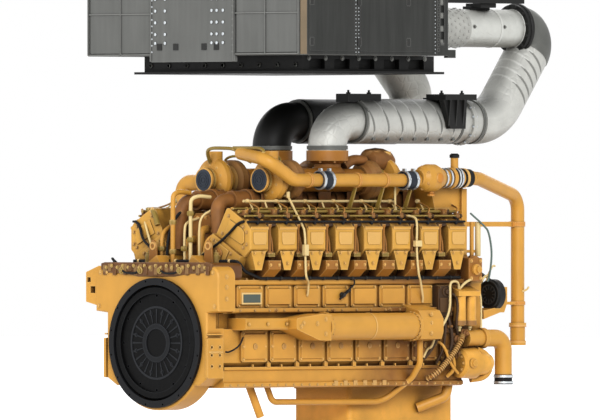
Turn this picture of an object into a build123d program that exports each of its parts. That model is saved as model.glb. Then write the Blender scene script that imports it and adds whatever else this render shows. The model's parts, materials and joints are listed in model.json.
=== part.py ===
from build123d import *
import math
import os

os.makedirs("parts", exist_ok=True)

# Frame, in mm: X along the crankshaft, 0 at the rear face of the flywheel housing and
# rising to the front of the engine; Y from the crankshaft to the left bank, as seen from
# the flywheel; Z up from the crankshaft's axis. "Right" is the bank at negative Y.

# Cylinders and banks
cylinders_per_bank = 8
cylinder_pitch = 275
first_cylinder_x = 434
bank_lean = 30
middle_x = first_cylinder_x + cylinder_pitch * (cylinders_per_bank - 1) / 2
cylinder_places = [first_cylinder_x + cylinder_pitch * i for i in range(cylinders_per_bank)]

# Flywheel end, with the standard size 00 housing face and size 21 flywheel face
ring_outer_r = 882.65 / 2
ring_inner_r = 787.4 / 2
ring_bolt_circle_r = 850.9 / 2
ring_bolt_count = 16
ring_bolt_r = 7
ring_thickness = 26
flywheel_r = 388
flywheel_recess_r = 673.1 / 2
flywheel_bolt_circle_r = 641.35 / 2
flywheel_bolt_count = 12
flywheel_bolt_r = 8.5
flywheel_set_back = 8
flywheel_recess_depth = 18
flywheel_thickness = 82
hub_r = 150
hub_depth = 30
housing_body_r = 458
housing_front_x = 185
wall_y = 484
waist_y = 430
waist_x = 111
foot_pad_y = 504
foot_pad_x = (14, 163)
foot_pad_z = (-238, 34)
foot_hole_r = 9
foot_hole_x = (53, 130)
foot_hole_z = (-27, -81, -156)
foot_hole_depth = 60
foot_pad_round = 12
waist_z = (100, 205)
shoulder_y = 595
shoulder_z = (205, 520)
shoulder_round = 72
gear_cover_x = (36, 310)
gear_cover_width = 1070
gear_cover_height = 120
gear_cover_round = 40
gear_cover_top_z = 545
arm_y = 693
arm_z = (278, 480)
arm_x = (30, 150)

# Crankcase
block_rear_x = 190
block_front_x = 2590
side_y = 475
sump_rail_z = -163
sump_rail_y = 490
pan_floor_z = -305
pan_front_x = 2500
block_waist_x = (190, 310)
block_waist_z = (95, 200)
ledge_z = (204, 236)
ledge_y = 530
head_flange_z = (394, 428)
head_flange_y = 508
crank_tunnel_r = 165
crank_r = 95
bearing_gap = 0.08
deck_d = 600
head_height = 167
deck_outer = 160
deck_inner = 150
valley_z = 456

# Doors and pressed panels
door_width = 246
door_rim = 17
crank_door_shift = 36
crank_door_z = (-129, 81)
crank_door_base = 18
crank_door_rise = 10
cam_door_shift = -6
cam_door_base = 16
cam_door_rise = 12
plate_corner_r = 16
panel_corner_r = 12
panel_slope = 30

# Rocker covers, with upright outer faces
cover_width = 178
cover_face_y = 582
cover_face_z = (640, 774)
cover_shoulder = (545, 817)
cover_ridge = (360.1, 923.7)

# Deep sump
sump_rear_x = 1604
sump_front_x = 2631
sump_y = 278
sump_floor_z = -640

# Exhaust, above the banks
turbo_y = 270
turbo_z = 1108
turbo_inlet_from_middle = 658
collector_r = 118
duct_r = 132
lagging_r = 154
duct_z = 1512
duct_start_z = 1310
lagging_start_x = 1612
joint_x = (2563, 2813)
corner_x = 3003
riser_turn = 126.5
u_bend_x = 3262
u_bend_r = 112
u_tube_r = 158
inlet_z = 2159
inlet_pipe_r = 131
manifold_y = 165
manifold_z = 968
manifold_r = 66

# Exhaust cleaning module
module_rear_x = 380
module_front_x = 1690
module_y = 1032
module_floor_z = 1955
module_top_z = 2500
frame_front_x = 1800
base_frame_x = (662, 1930)
base_frame_y = 768
base_frame_z = (1832, 1955)

# Coolant and oil
header_y = 480
header_z = 1107
header_r = 45
cooler_y = 600
cooler_z = 108
cooler_r = 92
cooler_x = (1014, 1900)
return_pipe_x = 3234
return_pipe_y = 300
return_pipe_r = 47
pump_y = 532
pump_z = -150
inlet_pipe_z = 20
inlet_elbow_x = 2853


def bank_plane(side, x, distance):
    """Plane across a cylinder, at a distance from the crankshaft; side is -1 right, 1 left."""
    lean = math.radians(bank_lean)
    axis = (0, side * math.sin(lean), math.cos(lean))
    middle = (x, axis[1] * distance, axis[2] * distance)
    return Plane(origin=middle, x_dir=(1, 0, 0), z_dir=axis)


def on_bank(distance, outward):
    """Y and Z, on the left bank, of a point at a distance up the bank and outward across it."""
    lean = math.radians(bank_lean)
    return (
        math.sin(lean) * distance + math.cos(lean) * outward,
        math.cos(lean) * distance - math.sin(lean) * outward,
    )


def box_between(x, y, z, mode=Mode.ADD):
    """Adds a block from its low and high corners on each axis."""
    middle = ((x[0] + x[1]) / 2, (y[0] + y[1]) / 2, (z[0] + z[1]) / 2)
    with Locations(middle):
        Box(x[1] - x[0], y[1] - y[0], z[1] - z[0], mode=mode)


def between(side, inner, outer):
    """Low and high Y of a span on one side of the engine."""
    return min(side * inner, side * outer), max(side * inner, side * outer)


def side_plane(side, x, y, z):
    """Plane on one side of the engine, facing outward, with X along the engine."""
    return Plane(origin=(x, side * y, z), x_dir=(1, 0, 0), z_dir=(0, side, 0))


def tube(points, radii, outer_r):
    """Adds a round bar along straight runs joined by arcs."""
    with BuildLine() as route:
        if radii:
            FilletPolyline(*points, radius=radii)
        else:
            Line(*points)
    with BuildSketch(Plane(origin=route.line @ 0, z_dir=route.line % 0)) as section:
        Circle(outer_r)
    sweep(section.sketch, path=route.line)


def round_bar(start, end, radius):
    """Adds a solid round bar between two points."""
    way = Vector(*end) - Vector(*start)
    with BuildSketch(Plane(origin=start, z_dir=way)) as section:
        Circle(radius)
    extrude(section.sketch, amount=way.length)


def turned(start, way, steps):
    """Adds a turned piece along an axis, from pairs of distance and radius."""
    along = Vector(*way).normalized()
    across = (0, 1, 0) if abs(along.Y) < 0.9 else (1, 0, 0)
    with BuildSketch(Plane(origin=start, x_dir=along, z_dir=across)) as outline:
        with BuildLine():
            Polyline((steps[0][0], 0), *steps, (steps[-1][0], 0), close=True)
        make_face()
    revolve(outline.sketch, axis=Axis(start, along))


def seat_against(*neighbours):
    """Cuts the piece being built where its neighbours already are."""
    for neighbour in neighbours:
        add(neighbour.part, mode=Mode.SUBTRACT)


def keep(piece, label):
    """Labels a finished piece and writes its file."""
    piece.part.label = label
    export_step(piece.part, f"parts/{label}.step")


# Ring of the housing face, that a driven machine bolts to
with BuildPart() as coupling_ring:
    with BuildSketch(Plane.YZ):
        Circle(ring_outer_r)
        Circle(ring_inner_r, mode=Mode.SUBTRACT)
        with PolarLocations(ring_bolt_circle_r, ring_bolt_count, start_angle=360 / ring_bolt_count / 2):
            Circle(ring_bolt_r, mode=Mode.SUBTRACT)
    extrude(amount=ring_thickness)
keep(coupling_ring, "coupling_ring")

# Flywheel: a heavy disc with a stepped face and a hub
face = flywheel_set_back + flywheel_recess_depth
flywheel_front = flywheel_set_back + flywheel_thickness
with BuildPart() as flywheel:
    with BuildSketch(Plane.XZ):
        with BuildLine():
            Polyline(
                (face, 0),
                (face, flywheel_recess_r),
                (flywheel_set_back, flywheel_recess_r),
                (flywheel_set_back, flywheel_r - 12),
                (flywheel_set_back + 12, flywheel_r),
                (flywheel_front, flywheel_r),
                (flywheel_front, hub_r),
                (flywheel_front + hub_depth, hub_r),
                (flywheel_front + hub_depth, 0),
                close=True,
            )
        make_face()
    revolve(axis=Axis.X)
    with BuildSketch(Plane.YZ.offset(face)):
        with PolarLocations(flywheel_bolt_circle_r, flywheel_bolt_count):
            Circle(flywheel_bolt_r)
    extrude(amount=flywheel_thickness, mode=Mode.SUBTRACT)
keep(flywheel, "flywheel")

# Crankshaft, straight through the crankcase
crank_rear_x = flywheel_front + hub_depth
crank_front_x = block_front_x + 250
with BuildPart() as crankshaft:
    turned(
        (crank_rear_x, 0, 0),
        (1, 0, 0),
        [(0, hub_r), (35, hub_r), (35, crank_r), (crank_front_x - crank_rear_x, crank_r)],
    )
keep(crankshaft, "crankshaft")

# Vibration damper on the front of the crankshaft
damper_x = block_front_x + 150
with BuildPart() as vibration_damper:
    with BuildSketch(Plane.XZ):
        with BuildLine():
            Polyline(
                (damper_x, crank_r),
                (damper_x, 292),
                (damper_x + 8, 300),
                (damper_x + 82, 300),
                (damper_x + 90, 292),
                (damper_x + 90, 180),
                (damper_x + 40, 160),
                (damper_x + 40, crank_r),
                close=True,
            )
        make_face()
    revolve(axis=Axis.X)
keep(vibration_damper, "vibration_damper")

# Flywheel housing: a bell under broad round shoulders, with a waist, foot pads and an arm
with BuildPart() as flywheel_housing:
    with BuildSketch(Plane.YZ.offset(ring_thickness)) as bell:
        with BuildLine():
            Polyline(
                (-wall_y + 90, foot_pad_z[0] - 52),
                (wall_y - 90, foot_pad_z[0] - 52),
                (wall_y, foot_pad_z[0]),
                (wall_y, shoulder_z[0]),
                (shoulder_y, shoulder_z[0] + 12),
                (shoulder_y, shoulder_z[1]),
                (-shoulder_y, shoulder_z[1]),
                (-shoulder_y, shoulder_z[0] + 12),
                (-wall_y, shoulder_z[0]),
                (-wall_y, foot_pad_z[0]),
                close=True,
            )
        make_face()
        fillet(bell.vertices().group_by(Axis.Y)[-1], shoulder_round)
        Circle(housing_body_r)
    extrude(amount=housing_front_x - ring_thickness)
    chamfer(flywheel_housing.faces().sort_by(Axis.X)[0].outer_wire().edges(), 9)
    with BuildSketch(Plane.YZ.offset(arm_x[0])):
        with BuildLine():
            Polyline(
                (shoulder_y - 90, shoulder_z[0] + 30),
                (arm_y, arm_z[0]),
                (arm_y, arm_z[1]),
                (shoulder_y - 30, shoulder_z[1] + 4),
                (shoulder_y - 130, shoulder_z[1] - 10),
                close=True,
            )
        make_face()
        with Locations((arm_y - 29, 428)):
            Rectangle(32, 32, mode=Mode.SUBTRACT)
        with Locations((arm_y - 68, 360)):
            Rectangle(46, 46, mode=Mode.SUBTRACT)
    extrude(amount=arm_x[1] - arm_x[0])
    for side in (-1, 1):
        waist_span_y = between(side, waist_y, shoulder_y)
        box_between((waist_x, housing_front_x), waist_span_y, waist_z, Mode.SUBTRACT)
        pad_x = (foot_pad_x[0] + foot_pad_x[1]) / 2
        pad_z = (foot_pad_z[0] + foot_pad_z[1]) / 2
        with BuildSketch(side_plane(side, pad_x, wall_y, pad_z)):
            RectangleRounded(foot_pad_x[1] - foot_pad_x[0], foot_pad_z[1] - foot_pad_z[0], foot_pad_round)
        extrude(amount=foot_pad_y - wall_y)
    with BuildSketch(Plane.YZ.offset(ring_thickness)):
        Circle(flywheel_r + 14)
    extrude(amount=crank_rear_x + 42 - ring_thickness, mode=Mode.SUBTRACT)
    with BuildSketch(Plane.YZ):
        Circle(crank_r + bearing_gap)
    extrude(amount=housing_front_x, mode=Mode.SUBTRACT)
    for side in (-1, 1):
        for x in foot_hole_x:
            for z in foot_hole_z:
                with BuildSketch(side_plane(side, x, foot_pad_y, z)):
                    Circle(foot_hole_r)
                extrude(amount=-foot_hole_depth, mode=Mode.SUBTRACT)
keep(flywheel_housing, "flywheel_housing")

# Cylinder block: a vee on a deep crankcase
with BuildPart() as cylinder_block:
    deck_out = on_bank(deck_d, deck_outer)
    deck_in = on_bank(deck_d, -deck_inner)
    half_profile = [
        (side_y - 30, sump_rail_z),
        (side_y, sump_rail_z + 30),
        (side_y, 400),
        deck_out,
        deck_in,
        (90, valley_z),
    ]
    other_half = [(-y, z) for y, z in reversed(half_profile)]
    with BuildSketch(Plane.YZ.offset(block_rear_x)):
        with BuildLine():
            Polyline(*half_profile, *other_half, close=True)
        make_face()
        Circle(crank_tunnel_r, mode=Mode.SUBTRACT)
    extrude(amount=block_front_x - block_rear_x)
    rail_x = (block_rear_x + 40, block_front_x - 60)
    for side in (-1, 1):
        for z, y in ((ledge_z, ledge_y), (head_flange_z, head_flange_y)):
            with BuildSketch(Plane.YZ.offset(rail_x[0])) as rail:
                with BuildLine():
                    Polyline(
                        (side * (side_y - 40), z[0]),
                        (side * (y - 8), z[0]),
                        (side * y, z[0] + 8),
                        (side * y, z[1]),
                        (side * (side_y - 60), z[1]),
                        close=True,
                    )
                make_face()
            extrude(rail.sketch, amount=rail_x[1] - rail_x[0])
        box_between(block_waist_x, between(side, waist_y, side_y), block_waist_z, Mode.SUBTRACT)
keep(cylinder_block, "cylinder_block")

# Rear gear cover, low over the flywheel housing and against the block
with BuildPart() as rear_gear_housing:
    with BuildSketch(Plane.YZ.offset(gear_cover_x[0])):
        with Locations((0, gear_cover_top_z - gear_cover_height / 2)):
            RectangleRounded(gear_cover_width, gear_cover_height, gear_cover_round)
    extrude(amount=gear_cover_x[1] - gear_cover_x[0])
    seat_against(flywheel_housing, cylinder_block)
keep(rear_gear_housing, "rear_gear_housing")

# Front gear housing
front_housing_x = (block_front_x, block_front_x + 120)
gear_access_covers = ((220, 430, 120), (-220, 430, 120), (0, 500, 86))
with BuildPart() as front_gear_housing:
    with BuildSketch(Plane.YZ.offset(front_housing_x[0])) as front_outline:
        with BuildLine():
            Polyline(
                (-430, sump_rail_z),
                (430, sump_rail_z),
                (470, 100),
                (470, 420),
                (300, 640),
                (-300, 640),
                (-470, 420),
                (-470, 100),
                close=True,
            )
        make_face()
        fillet(front_outline.vertices(), 40)
        Circle(crank_r + bearing_gap, mode=Mode.SUBTRACT)
    extrude(amount=front_housing_x[1] - front_housing_x[0])
    chamfer(front_gear_housing.faces().sort_by(Axis.X)[-1].outer_wire().edges(), 14)
    for y, z, radius in gear_access_covers:
        cover_steps = [(-10, radius), (14, radius), (22, radius - 14), (30, radius - 40)]
        turned((front_housing_x[1], y, z), (1, 0, 0), cover_steps)
keep(front_gear_housing, "front_gear_housing")

# Oil pan: a shallow rail with a flange at its top and foot
with BuildPart() as oil_pan:
    with BuildSketch(Plane.YZ.offset(housing_front_x + 2)):
        pan_half = [
            (sump_rail_y - 22, pan_floor_z),
            (sump_rail_y, pan_floor_z + 10),
            (sump_rail_y, pan_floor_z + 33),
            (sump_rail_y - 14, pan_floor_z + 42),
            (sump_rail_y - 14, sump_rail_z - 26),
            (sump_rail_y, sump_rail_z - 18),
            (sump_rail_y, sump_rail_z),
        ]
        with BuildLine():
            Polyline(*pan_half, *[(-y, z) for y, z in reversed(pan_half)], close=True)
        make_face()
    extrude(amount=pan_front_x - housing_front_x - 2)
keep(oil_pan, "oil_pan")

# Deep sump under the front of the pan, with a rim at its top
sump_middle_x = (sump_rear_x + sump_front_x) / 2
with BuildPart() as oil_sump:
    with BuildSketch(Plane.XY.offset(pan_floor_z)):
        with Locations((sump_middle_x, 0)):
            RectangleRounded(sump_front_x - sump_rear_x, 2 * sump_y, 30)
    extrude(amount=-20)
    with BuildSketch(Plane.XY.offset(pan_floor_z - 20)):
        with Locations((sump_middle_x, 0)):
            RectangleRounded(sump_front_x - sump_rear_x - 16, 2 * sump_y - 16, 34)
    extrude(amount=sump_floor_z - pan_floor_z + 20)
    chamfer(oil_sump.faces().sort_by(Axis.Z)[0].outer_wire().edges(), 10)
keep(oil_sump, "oil_sump")


def pressed_panel(plane, width, height, base, rise, rim):
    """Adds a rounded plate whose middle stands out with sloping sides."""
    with BuildSketch(plane) as plate:
        RectangleRounded(width, height, plate_corner_r)
    extrude(plate.sketch, amount=base)
    with BuildSketch(plane.offset(base)) as middle:
        RectangleRounded(width - 2 * rim, height - 2 * rim, panel_corner_r)
    extrude(middle.sketch, amount=rise, taper=panel_slope)


def add_side_doors(x_shift, width, z, base, rise, rim):
    """Adds a door beside each cylinder, on both sides of the block."""
    for side in (-1, 1):
        for x in cylinder_places:
            door_plane = side_plane(side, x + x_shift, side_y, (z[0] + z[1]) / 2)
            pressed_panel(door_plane, width, z[1] - z[0], base, rise, rim)


# Doors on the crankcase, one by each cylinder
with BuildPart() as crankcase_covers:
    add_side_doors(crank_door_shift, door_width, crank_door_z, crank_door_base, crank_door_rise, door_rim)
keep(crankcase_covers, "crankcase_covers")

# Camshaft covers between the ledge and the head flange
cam_door_z = (ledge_z[1] + 3, head_flange_z[0] - 5)
with BuildPart() as camshaft_covers:
    add_side_doors(cam_door_shift, door_width, cam_door_z, cam_door_base, cam_door_rise, door_rim)
keep(camshaft_covers, "camshaft_covers")

# Rocker cover of one cylinder of the left bank: upright outside, roof-shaped on top
head_out = on_bank(deck_d + head_height, deck_outer)
head_in = on_bank(deck_d + head_height, -deck_inner)
with BuildPart() as left_rocker_cover:
    with BuildSketch(Plane.YZ.offset(-cover_width / 2)) as cover_outline:
        with BuildLine():
            Polyline(
                head_in,
                cover_ridge,
                cover_shoulder,
                (cover_face_y, cover_face_z[1]),
                (cover_face_y, cover_face_z[0]),
                head_out,
                close=True,
            )
        make_face()
        fillet(cover_outline.vertices().sort_by(Axis.Y)[-1], 22)
    extrude(amount=cover_width)
    fillet(left_rocker_cover.edges().filter_by(Axis.Z), 14)

with BuildPart() as rocker_covers:
    for x in cylinder_places:
        with Locations((x, 0, 0)):
            add(left_rocker_cover.part)
    mirror(about=Plane.XZ)
keep(rocker_covers, "rocker_covers")

# Cylinder head of one cylinder, with a port block that narrows downward
head_width = 232
port_z = (495, 640)
port_y = (468, 572)
port_half_x = (30, 75)
with BuildPart() as left_head:
    with BuildSketch(bank_plane(1, 0, deck_d)) as footprint:
        with Locations((0, (deck_inner - deck_outer) / 2)):
            Rectangle(head_width, deck_outer + deck_inner)
    extrude(footprint.sketch, amount=head_height)
    with BuildSketch(Plane(origin=(0, port_y[0], 0), x_dir=(-1, 0, 0), z_dir=(0, 1, 0))) as port:
        with BuildLine():
            Polyline(
                (-port_half_x[0], port_z[0]),
                (port_half_x[0], port_z[0]),
                (port_half_x[1], port_z[1]),
                (-port_half_x[1], port_z[1]),
                close=True,
            )
        make_face()
    extrude(port.sketch, amount=port_y[1] - port_y[0])
    add(left_rocker_cover.part, mode=Mode.SUBTRACT)
    with BuildSketch(Plane.YZ.offset(-head_width)) as above_head:
        with BuildLine():
            Polyline(
                head_out,
                (cover_face_y + 30, cover_face_z[0] + 16),
                (cover_face_y + 30, cover_ridge[1]),
                (300, cover_ridge[1]),
                close=True,
            )
        make_face()
    extrude(above_head.sketch, amount=2 * head_width, mode=Mode.SUBTRACT)

with BuildPart() as cylinder_heads:
    for x in cylinder_places:
        with Locations((x, 0, 0)):
            add(left_head.part)
    mirror(about=Plane.XZ)
keep(cylinder_heads, "cylinder_heads")

# Lifter covers, between the port blocks of neighbouring heads
lifter_width = 116
lifter_y = (440, 500, 590)
lifter_z = (500, 560)
with BuildPart() as lifter_covers:
    for x in cylinder_places[:-1]:
        with BuildSketch(Plane.YZ.offset(x + (cylinder_pitch - lifter_width) / 2)) as lifter_outline:
            with BuildLine():
                Polyline(
                    (-lifter_y[0], head_flange_z[1]),
                    (-lifter_y[1], head_flange_z[1]),
                    (-lifter_y[2], lifter_z[0]),
                    (-lifter_y[2], lifter_z[1]),
                    (-lifter_y[1], lifter_z[1]),
                    close=True,
                )
            make_face()
        extrude(lifter_outline.sketch, amount=lifter_width)
    mirror(about=Plane.XZ)
    seat_against(cylinder_heads, cylinder_block, rocker_covers)
keep(lifter_covers, "lifter_covers")

# Aftercooler housing, down in the vee
aftercooler_x = (470, 2440)
aftercooler_half = [
    (80, valley_z),
    (110, 620),
    (110, 840),
    (70, 880),
]
with BuildPart() as aftercooler_housing:
    with BuildSketch(Plane.YZ.offset(aftercooler_x[0])):
        with BuildLine():
            Polyline(*aftercooler_half, *[(-y, z) for y, z in reversed(aftercooler_half)], close=True)
        make_face()
    extrude(amount=aftercooler_x[1] - aftercooler_x[0])
    seat_against(cylinder_block)
keep(aftercooler_housing, "aftercooler_housing")

# Exhaust manifolds: a log along each bank with a branch from every head
with BuildPart() as exhaust_manifolds:
    for side in (-1, 1):
        log_y = side * manifold_y
        round_bar(
            (cylinder_places[0] + 130, log_y, manifold_z),
            (cylinder_places[-1] - 40, log_y, manifold_z),
            manifold_r,
        )
        for x in cylinder_places[1:-1]:
            round_bar((x, log_y, manifold_z), (x, side * 205, 620), 38)
        tube(
            [
                (cylinder_places[0] + 130, log_y, manifold_z),
                (cylinder_places[0], log_y, manifold_z),
                (cylinder_places[0], side * 200, 640),
            ],
            [90],
            48,
        )
    seat_against(cylinder_heads, aftercooler_housing, rocker_covers)
keep(exhaust_manifolds, "exhaust_manifolds")

# Exhaust collectors in the middle, where the turbochargers of a bank meet
with BuildPart() as exhaust_collectors:
    for side in (-1, 1):
        y = side * turbo_y
        turned(
            (middle_x, y, turbo_z - 50),
            (0, 0, 1),
            [
                (0, 90),
                (30, collector_r),
                (110, collector_r),
                (140, 92),
                (160, 92),
                (182, duct_r + 12),
                (duct_start_z - turbo_z + 50, duct_r + 12),
            ],
        )
        round_bar((middle_x - 300, y, turbo_z), (middle_x + 300, y, turbo_z), 80)
    seat_against(exhaust_manifolds, rocker_covers)
keep(exhaust_collectors, "exhaust_collectors")

# Turbochargers, two on each bank, with their air inlets facing away from the middle
inlet_lip_r = 84
outlet_r = 52
volute_from_lip = 112
turbo_steps = [
    (0, 62),
    (0, inlet_lip_r),
    (14, inlet_lip_r),
    (14, 76),
    (58, 78),
    (70, 118),
    (84, 146),
    (112, 154),
    (140, 146),
    (154, 84),
    (222, 80),
    (234, 112),
    (250, 132),
    (300, 132),
    (318, 104),
    (358, 92),
]
with BuildPart() as turbochargers:
    for side in (-1, 1):
        for end in (-1, 1):
            lip = (middle_x + end * turbo_inlet_from_middle, side * turbo_y, turbo_z)
            turned(lip, (-end, 0, 0), turbo_steps)
            outlet_foot = (lip[0] - end * volute_from_lip, side * turbo_y, turbo_z + 60)
            outlet_end = (outlet_foot[0], outlet_foot[1], turbo_z + 196)
            round_bar(outlet_foot, outlet_end, outlet_r)
    seat_against(exhaust_collectors, exhaust_manifolds, rocker_covers)
keep(turbochargers, "turbochargers")

# Air pipe from the rear left turbocharger, outboard and down behind the bank
rear_volute_x = middle_x - turbo_inlet_from_middle + volute_from_lip
with BuildPart() as charge_air_pipe:
    tube(
        [
            (rear_volute_x, turbo_y, 1090),
            (rear_volute_x, 575, 1090),
            (rear_volute_x - 10, 575, 930),
        ],
        [70],
        56,
    )
    seat_against(turbochargers, rocker_covers)
keep(charge_air_pipe, "charge_air_pipe")

# Oil cooler along the right side of the crankcase
with BuildPart() as oil_cooler:
    cooler_length = cooler_x[1] - cooler_x[0]
    turned(
        (cooler_x[0], -cooler_y, cooler_z),
        (1, 0, 0),
        [
            (0, cooler_r + 8),
            (24, cooler_r + 8),
            (24, cooler_r),
            (cooler_length - 24, cooler_r),
            (cooler_length - 24, cooler_r + 8),
            (cooler_length, cooler_r + 8),
        ],
    )
    seat_against(cylinder_block, crankcase_covers)
keep(oil_cooler, "oil_cooler")

# Housings that carry the oil cooler on the block
adapter_y = 690
gallery_x = (275, 700)
gallery_z = 129
gallery_height = 82
with BuildPart() as oil_cooler_housings:
    with BuildSketch(Plane.YZ.offset(gallery_x[0])) as gallery:
        with Locations((-(cooler_y + side_y) / 2 + 20, gallery_z)):
            RectangleRounded(cooler_y - side_y + 60, gallery_height, 20)
    extrude(gallery.sketch, amount=gallery_x[1] - gallery_x[0])
    with BuildSketch(Plane(origin=(0, -side_y, 0), x_dir=(1, 0, 0), z_dir=(0, -1, 0))) as adapter:
        with BuildLine():
            Polyline(
                (683, 92),
                (683, 168),
                (935, 198),
                (cooler_x[0], 190),
                (cooler_x[0], 14),
                (905, 16),
                close=True,
            )
        make_face()
        fillet(adapter.vertices().sort_by(Axis.X)[:4], 18)
    extrude(adapter.sketch, amount=adapter_y - side_y)
    with BuildSketch(Plane.YZ.offset(cooler_x[1])) as end_housing:
        with BuildLine():
            Polyline(
                (-side_y, 0),
                (-cooler_y - 70, 20),
                (-cooler_y - 88, 70),
                (-cooler_y - 88, 160),
                (-cooler_y - 50, 215),
                (-side_y, 258),
                close=True,
            )
        make_face()
    extrude(end_housing.sketch, amount=206)
    seat_against(flywheel_housing, cylinder_block, crankcase_covers, camshaft_covers)
keep(oil_cooler_housings, "oil_cooler_housings")

# Coolant header along the top of the right bank
header_front_x = 2065
with BuildPart() as coolant_header:
    tube(
        [
            (720, -110, 1290),
            (610, -header_y + 10, 1246),
            (860, -header_y, header_z),
            (header_front_x, -header_y, header_z),
        ],
        [70, 110],
        header_r,
    )
    seat_against(turbochargers, exhaust_collectors)
keep(coolant_header, "coolant_header")

# Thermostat housing at the front end of the header: a bulb, a neck and an upright post
with BuildPart() as thermostat_housing:
    turned(
        (header_front_x, -header_y, header_z + 16),
        (1, 0, 0),
        [
            (0, 58),
            (22, 62),
            (48, 84),
            (90, 95),
            (150, 95),
            (195, 78),
            (225, 62),
            (300, 58),
            (300, 72),
            (330, 72),
            (330, 58),
            (430, 56),
            (430, 68),
            (452, 68),
            (452, 54),
            (536, 50),
        ],
    )
    round_bar((2425, -header_y, header_z), (2425, -header_y, 1263), 27)
    with BuildSketch(Plane.XZ.offset(header_y - 60)) as web:
        with BuildLine():
            Polyline((2240, 1100), (2560, 1100), (2600, 900), (2300, 880), close=True)
        make_face()
    extrude(web.sketch, amount=-190)
    seat_against(coolant_header, turbochargers, rocker_covers, exhaust_manifolds, cylinder_heads)
keep(thermostat_housing, "thermostat_housing")

# Coolant return pipe: an arch over the front, then straight down to a sleeve
arch_start = (header_front_x + 536, -header_y, header_z + 16)
arch_end_z = 780
with BuildPart() as return_pipe_arch:
    tube(
        [
            arch_start,
            (arch_start[0] + 80, -header_y + 10, header_z + 10),
            (return_pipe_x, -return_pipe_y, 992),
            (return_pipe_x, -return_pipe_y, arch_end_z),
        ],
        [60, 120],
        return_pipe_r,
    )
    seat_against(thermostat_housing)
keep(return_pipe_arch, "return_pipe_arch")

with BuildPart() as coolant_return_pipe:
    turned(
        (return_pipe_x, -return_pipe_y, arch_end_z),
        (0, 0, -1),
        [
            (0, return_pipe_r),
            (arch_end_z - 122, return_pipe_r),
            (arch_end_z - 122, 60),
            (arch_end_z - 100, 60),
            (arch_end_z - 100, 52),
            (arch_end_z + 10, 52),
            (arch_end_z + 10, 58),
            (arch_end_z + 34, 58),
        ],
    )
keep(coolant_return_pipe, "coolant_return_pipe")

# Bars that stay the return pipe to the front of the engine
upper_bar_z = (788, 822)
lower_bar_z = (248, 268)
with BuildPart() as return_pipe_bracket:
    upper_bar_y = between(-1, return_pipe_y - 12, return_pipe_y + 12)
    box_between((front_housing_x[1] - 50, return_pipe_x), upper_bar_y, upper_bar_z)
    with BuildSketch(Plane.XZ.offset(return_pipe_y - 30)) as upright:
        with BuildLine():
            Polyline(
                (front_housing_x[0] + 20, 480),
                (front_housing_x[1] - 30, 480),
                (front_housing_x[1] - 30, upper_bar_z[1]),
                (front_housing_x[0] + 50, upper_bar_z[1]),
                close=True,
            )
        make_face()
    extrude(upright.sketch, amount=60)
    lower_bar_y = between(-1, return_pipe_y - 20, return_pipe_y + 20)
    box_between((front_housing_x[1], return_pipe_x), lower_bar_y, lower_bar_z)
    seat_against(return_pipe_arch, coolant_return_pipe, front_gear_housing)
keep(return_pipe_bracket, "return_pipe_bracket")

# Water pump at the lower front corner, with its inlet pipe, elbow and rubber end
with BuildPart() as water_pump:
    turned(
        (2400, -pump_y, pump_z),
        (1, 0, 0),
        [(0, 78), (14, 100), (118, 108), (150, 108), (164, 88), (250, 84), (268, 66), (300, 62)],
    )
    seat_against(cylinder_block, front_gear_housing, oil_pan, crankcase_covers)
keep(water_pump, "water_pump")

with BuildPart() as pump_inlet_elbow:
    tube(
        [
            (2470, -pump_y, inlet_pipe_z),
            (inlet_elbow_x, -pump_y, inlet_pipe_z),
            (inlet_elbow_x, -pump_y, -232),
        ],
        [85],
        60,
    )
    turned((2620, -pump_y, inlet_pipe_z), (1, 0, 0), [(0, 72), (36, 72)])
    seat_against(water_pump, cylinder_block, front_gear_housing, crankcase_covers)
keep(pump_inlet_elbow, "pump_inlet_elbow")

with BuildPart() as inlet_hose_end:
    turned(
        (inlet_elbow_x, -pump_y, -232),
        (0, 0, -1),
        [(0, 66), (22, 66), (22, 62), (44, 62), (44, 66), (68, 66)],
    )
keep(inlet_hose_end, "inlet_hose_end")

# Fuel filters on their head at the front right corner
filter_x = 2408
filter_y = 545
with BuildPart() as fuel_filters:
    for shift in (0, 100):
        turned(
            (filter_x + shift, -filter_y, 105),
            (0, 0, 1),
            [(0, 26), (6, 38), (34, 44), (36, 46), (44, 46), (46, 44), (192, 44), (198, 46), (214, 46)],
        )
    with BuildSketch(Plane.YZ.offset(filter_x - 56)) as filter_head:
        with BuildLine():
            Polyline(
                (-side_y, 300),
                (-filter_y - 50, 312),
                (-filter_y - 50, 344),
                (-side_y - 20, 380),
                (-side_y, 380),
                close=True,
            )
        make_face()
    extrude(filter_head.sketch, amount=212)
    seat_against(cylinder_block, camshaft_covers, oil_cooler_housings)
keep(fuel_filters, "fuel_filters")

# Alternator and its bracket at the front
alternator_x = 2812
alternator_y = 434
alternator_z = 319
with BuildPart() as alternator:
    turned(
        (alternator_x, -alternator_y, alternator_z),
        (1, 0, 0),
        [(0, 28), (0, 92), (12, 107), (58, 107), (72, 94), (72, 60), (96, 56)],
    )
keep(alternator, "alternator")

with BuildPart() as alternator_bracket:
    with BuildSketch(Plane.XZ.offset(alternator_y - 70)) as arm:
        with BuildLine():
            Polyline(
                (front_housing_x[1], 150),
                (alternator_x + 60, 196),
                (alternator_x + 100, 196),
                (alternator_x + 130, 260),
                (alternator_x + 130, 372),
                (alternator_x + 84, 372),
                (alternator_x + 84, 240),
                (front_housing_x[1], 210),
                close=True,
            )
        make_face()
    extrude(arm.sketch, amount=120)
    seat_against(alternator, coolant_return_pipe, front_gear_housing)
keep(alternator_bracket, "alternator_bracket")

# Fuel rail on short posts along the right bank
rail_z = 963
rail_y = 352
with BuildPart() as fuel_rail:
    round_bar((505, -rail_y, rail_z), (1974, -rail_y, rail_z), 9)
    for x in cylinder_places[1:6:2]:
        round_bar((x, -rail_y, rail_z), (x, -rail_y - 25, rail_z - 50), 6)
    seat_against(rocker_covers)
keep(fuel_rail, "fuel_rail")

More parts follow.
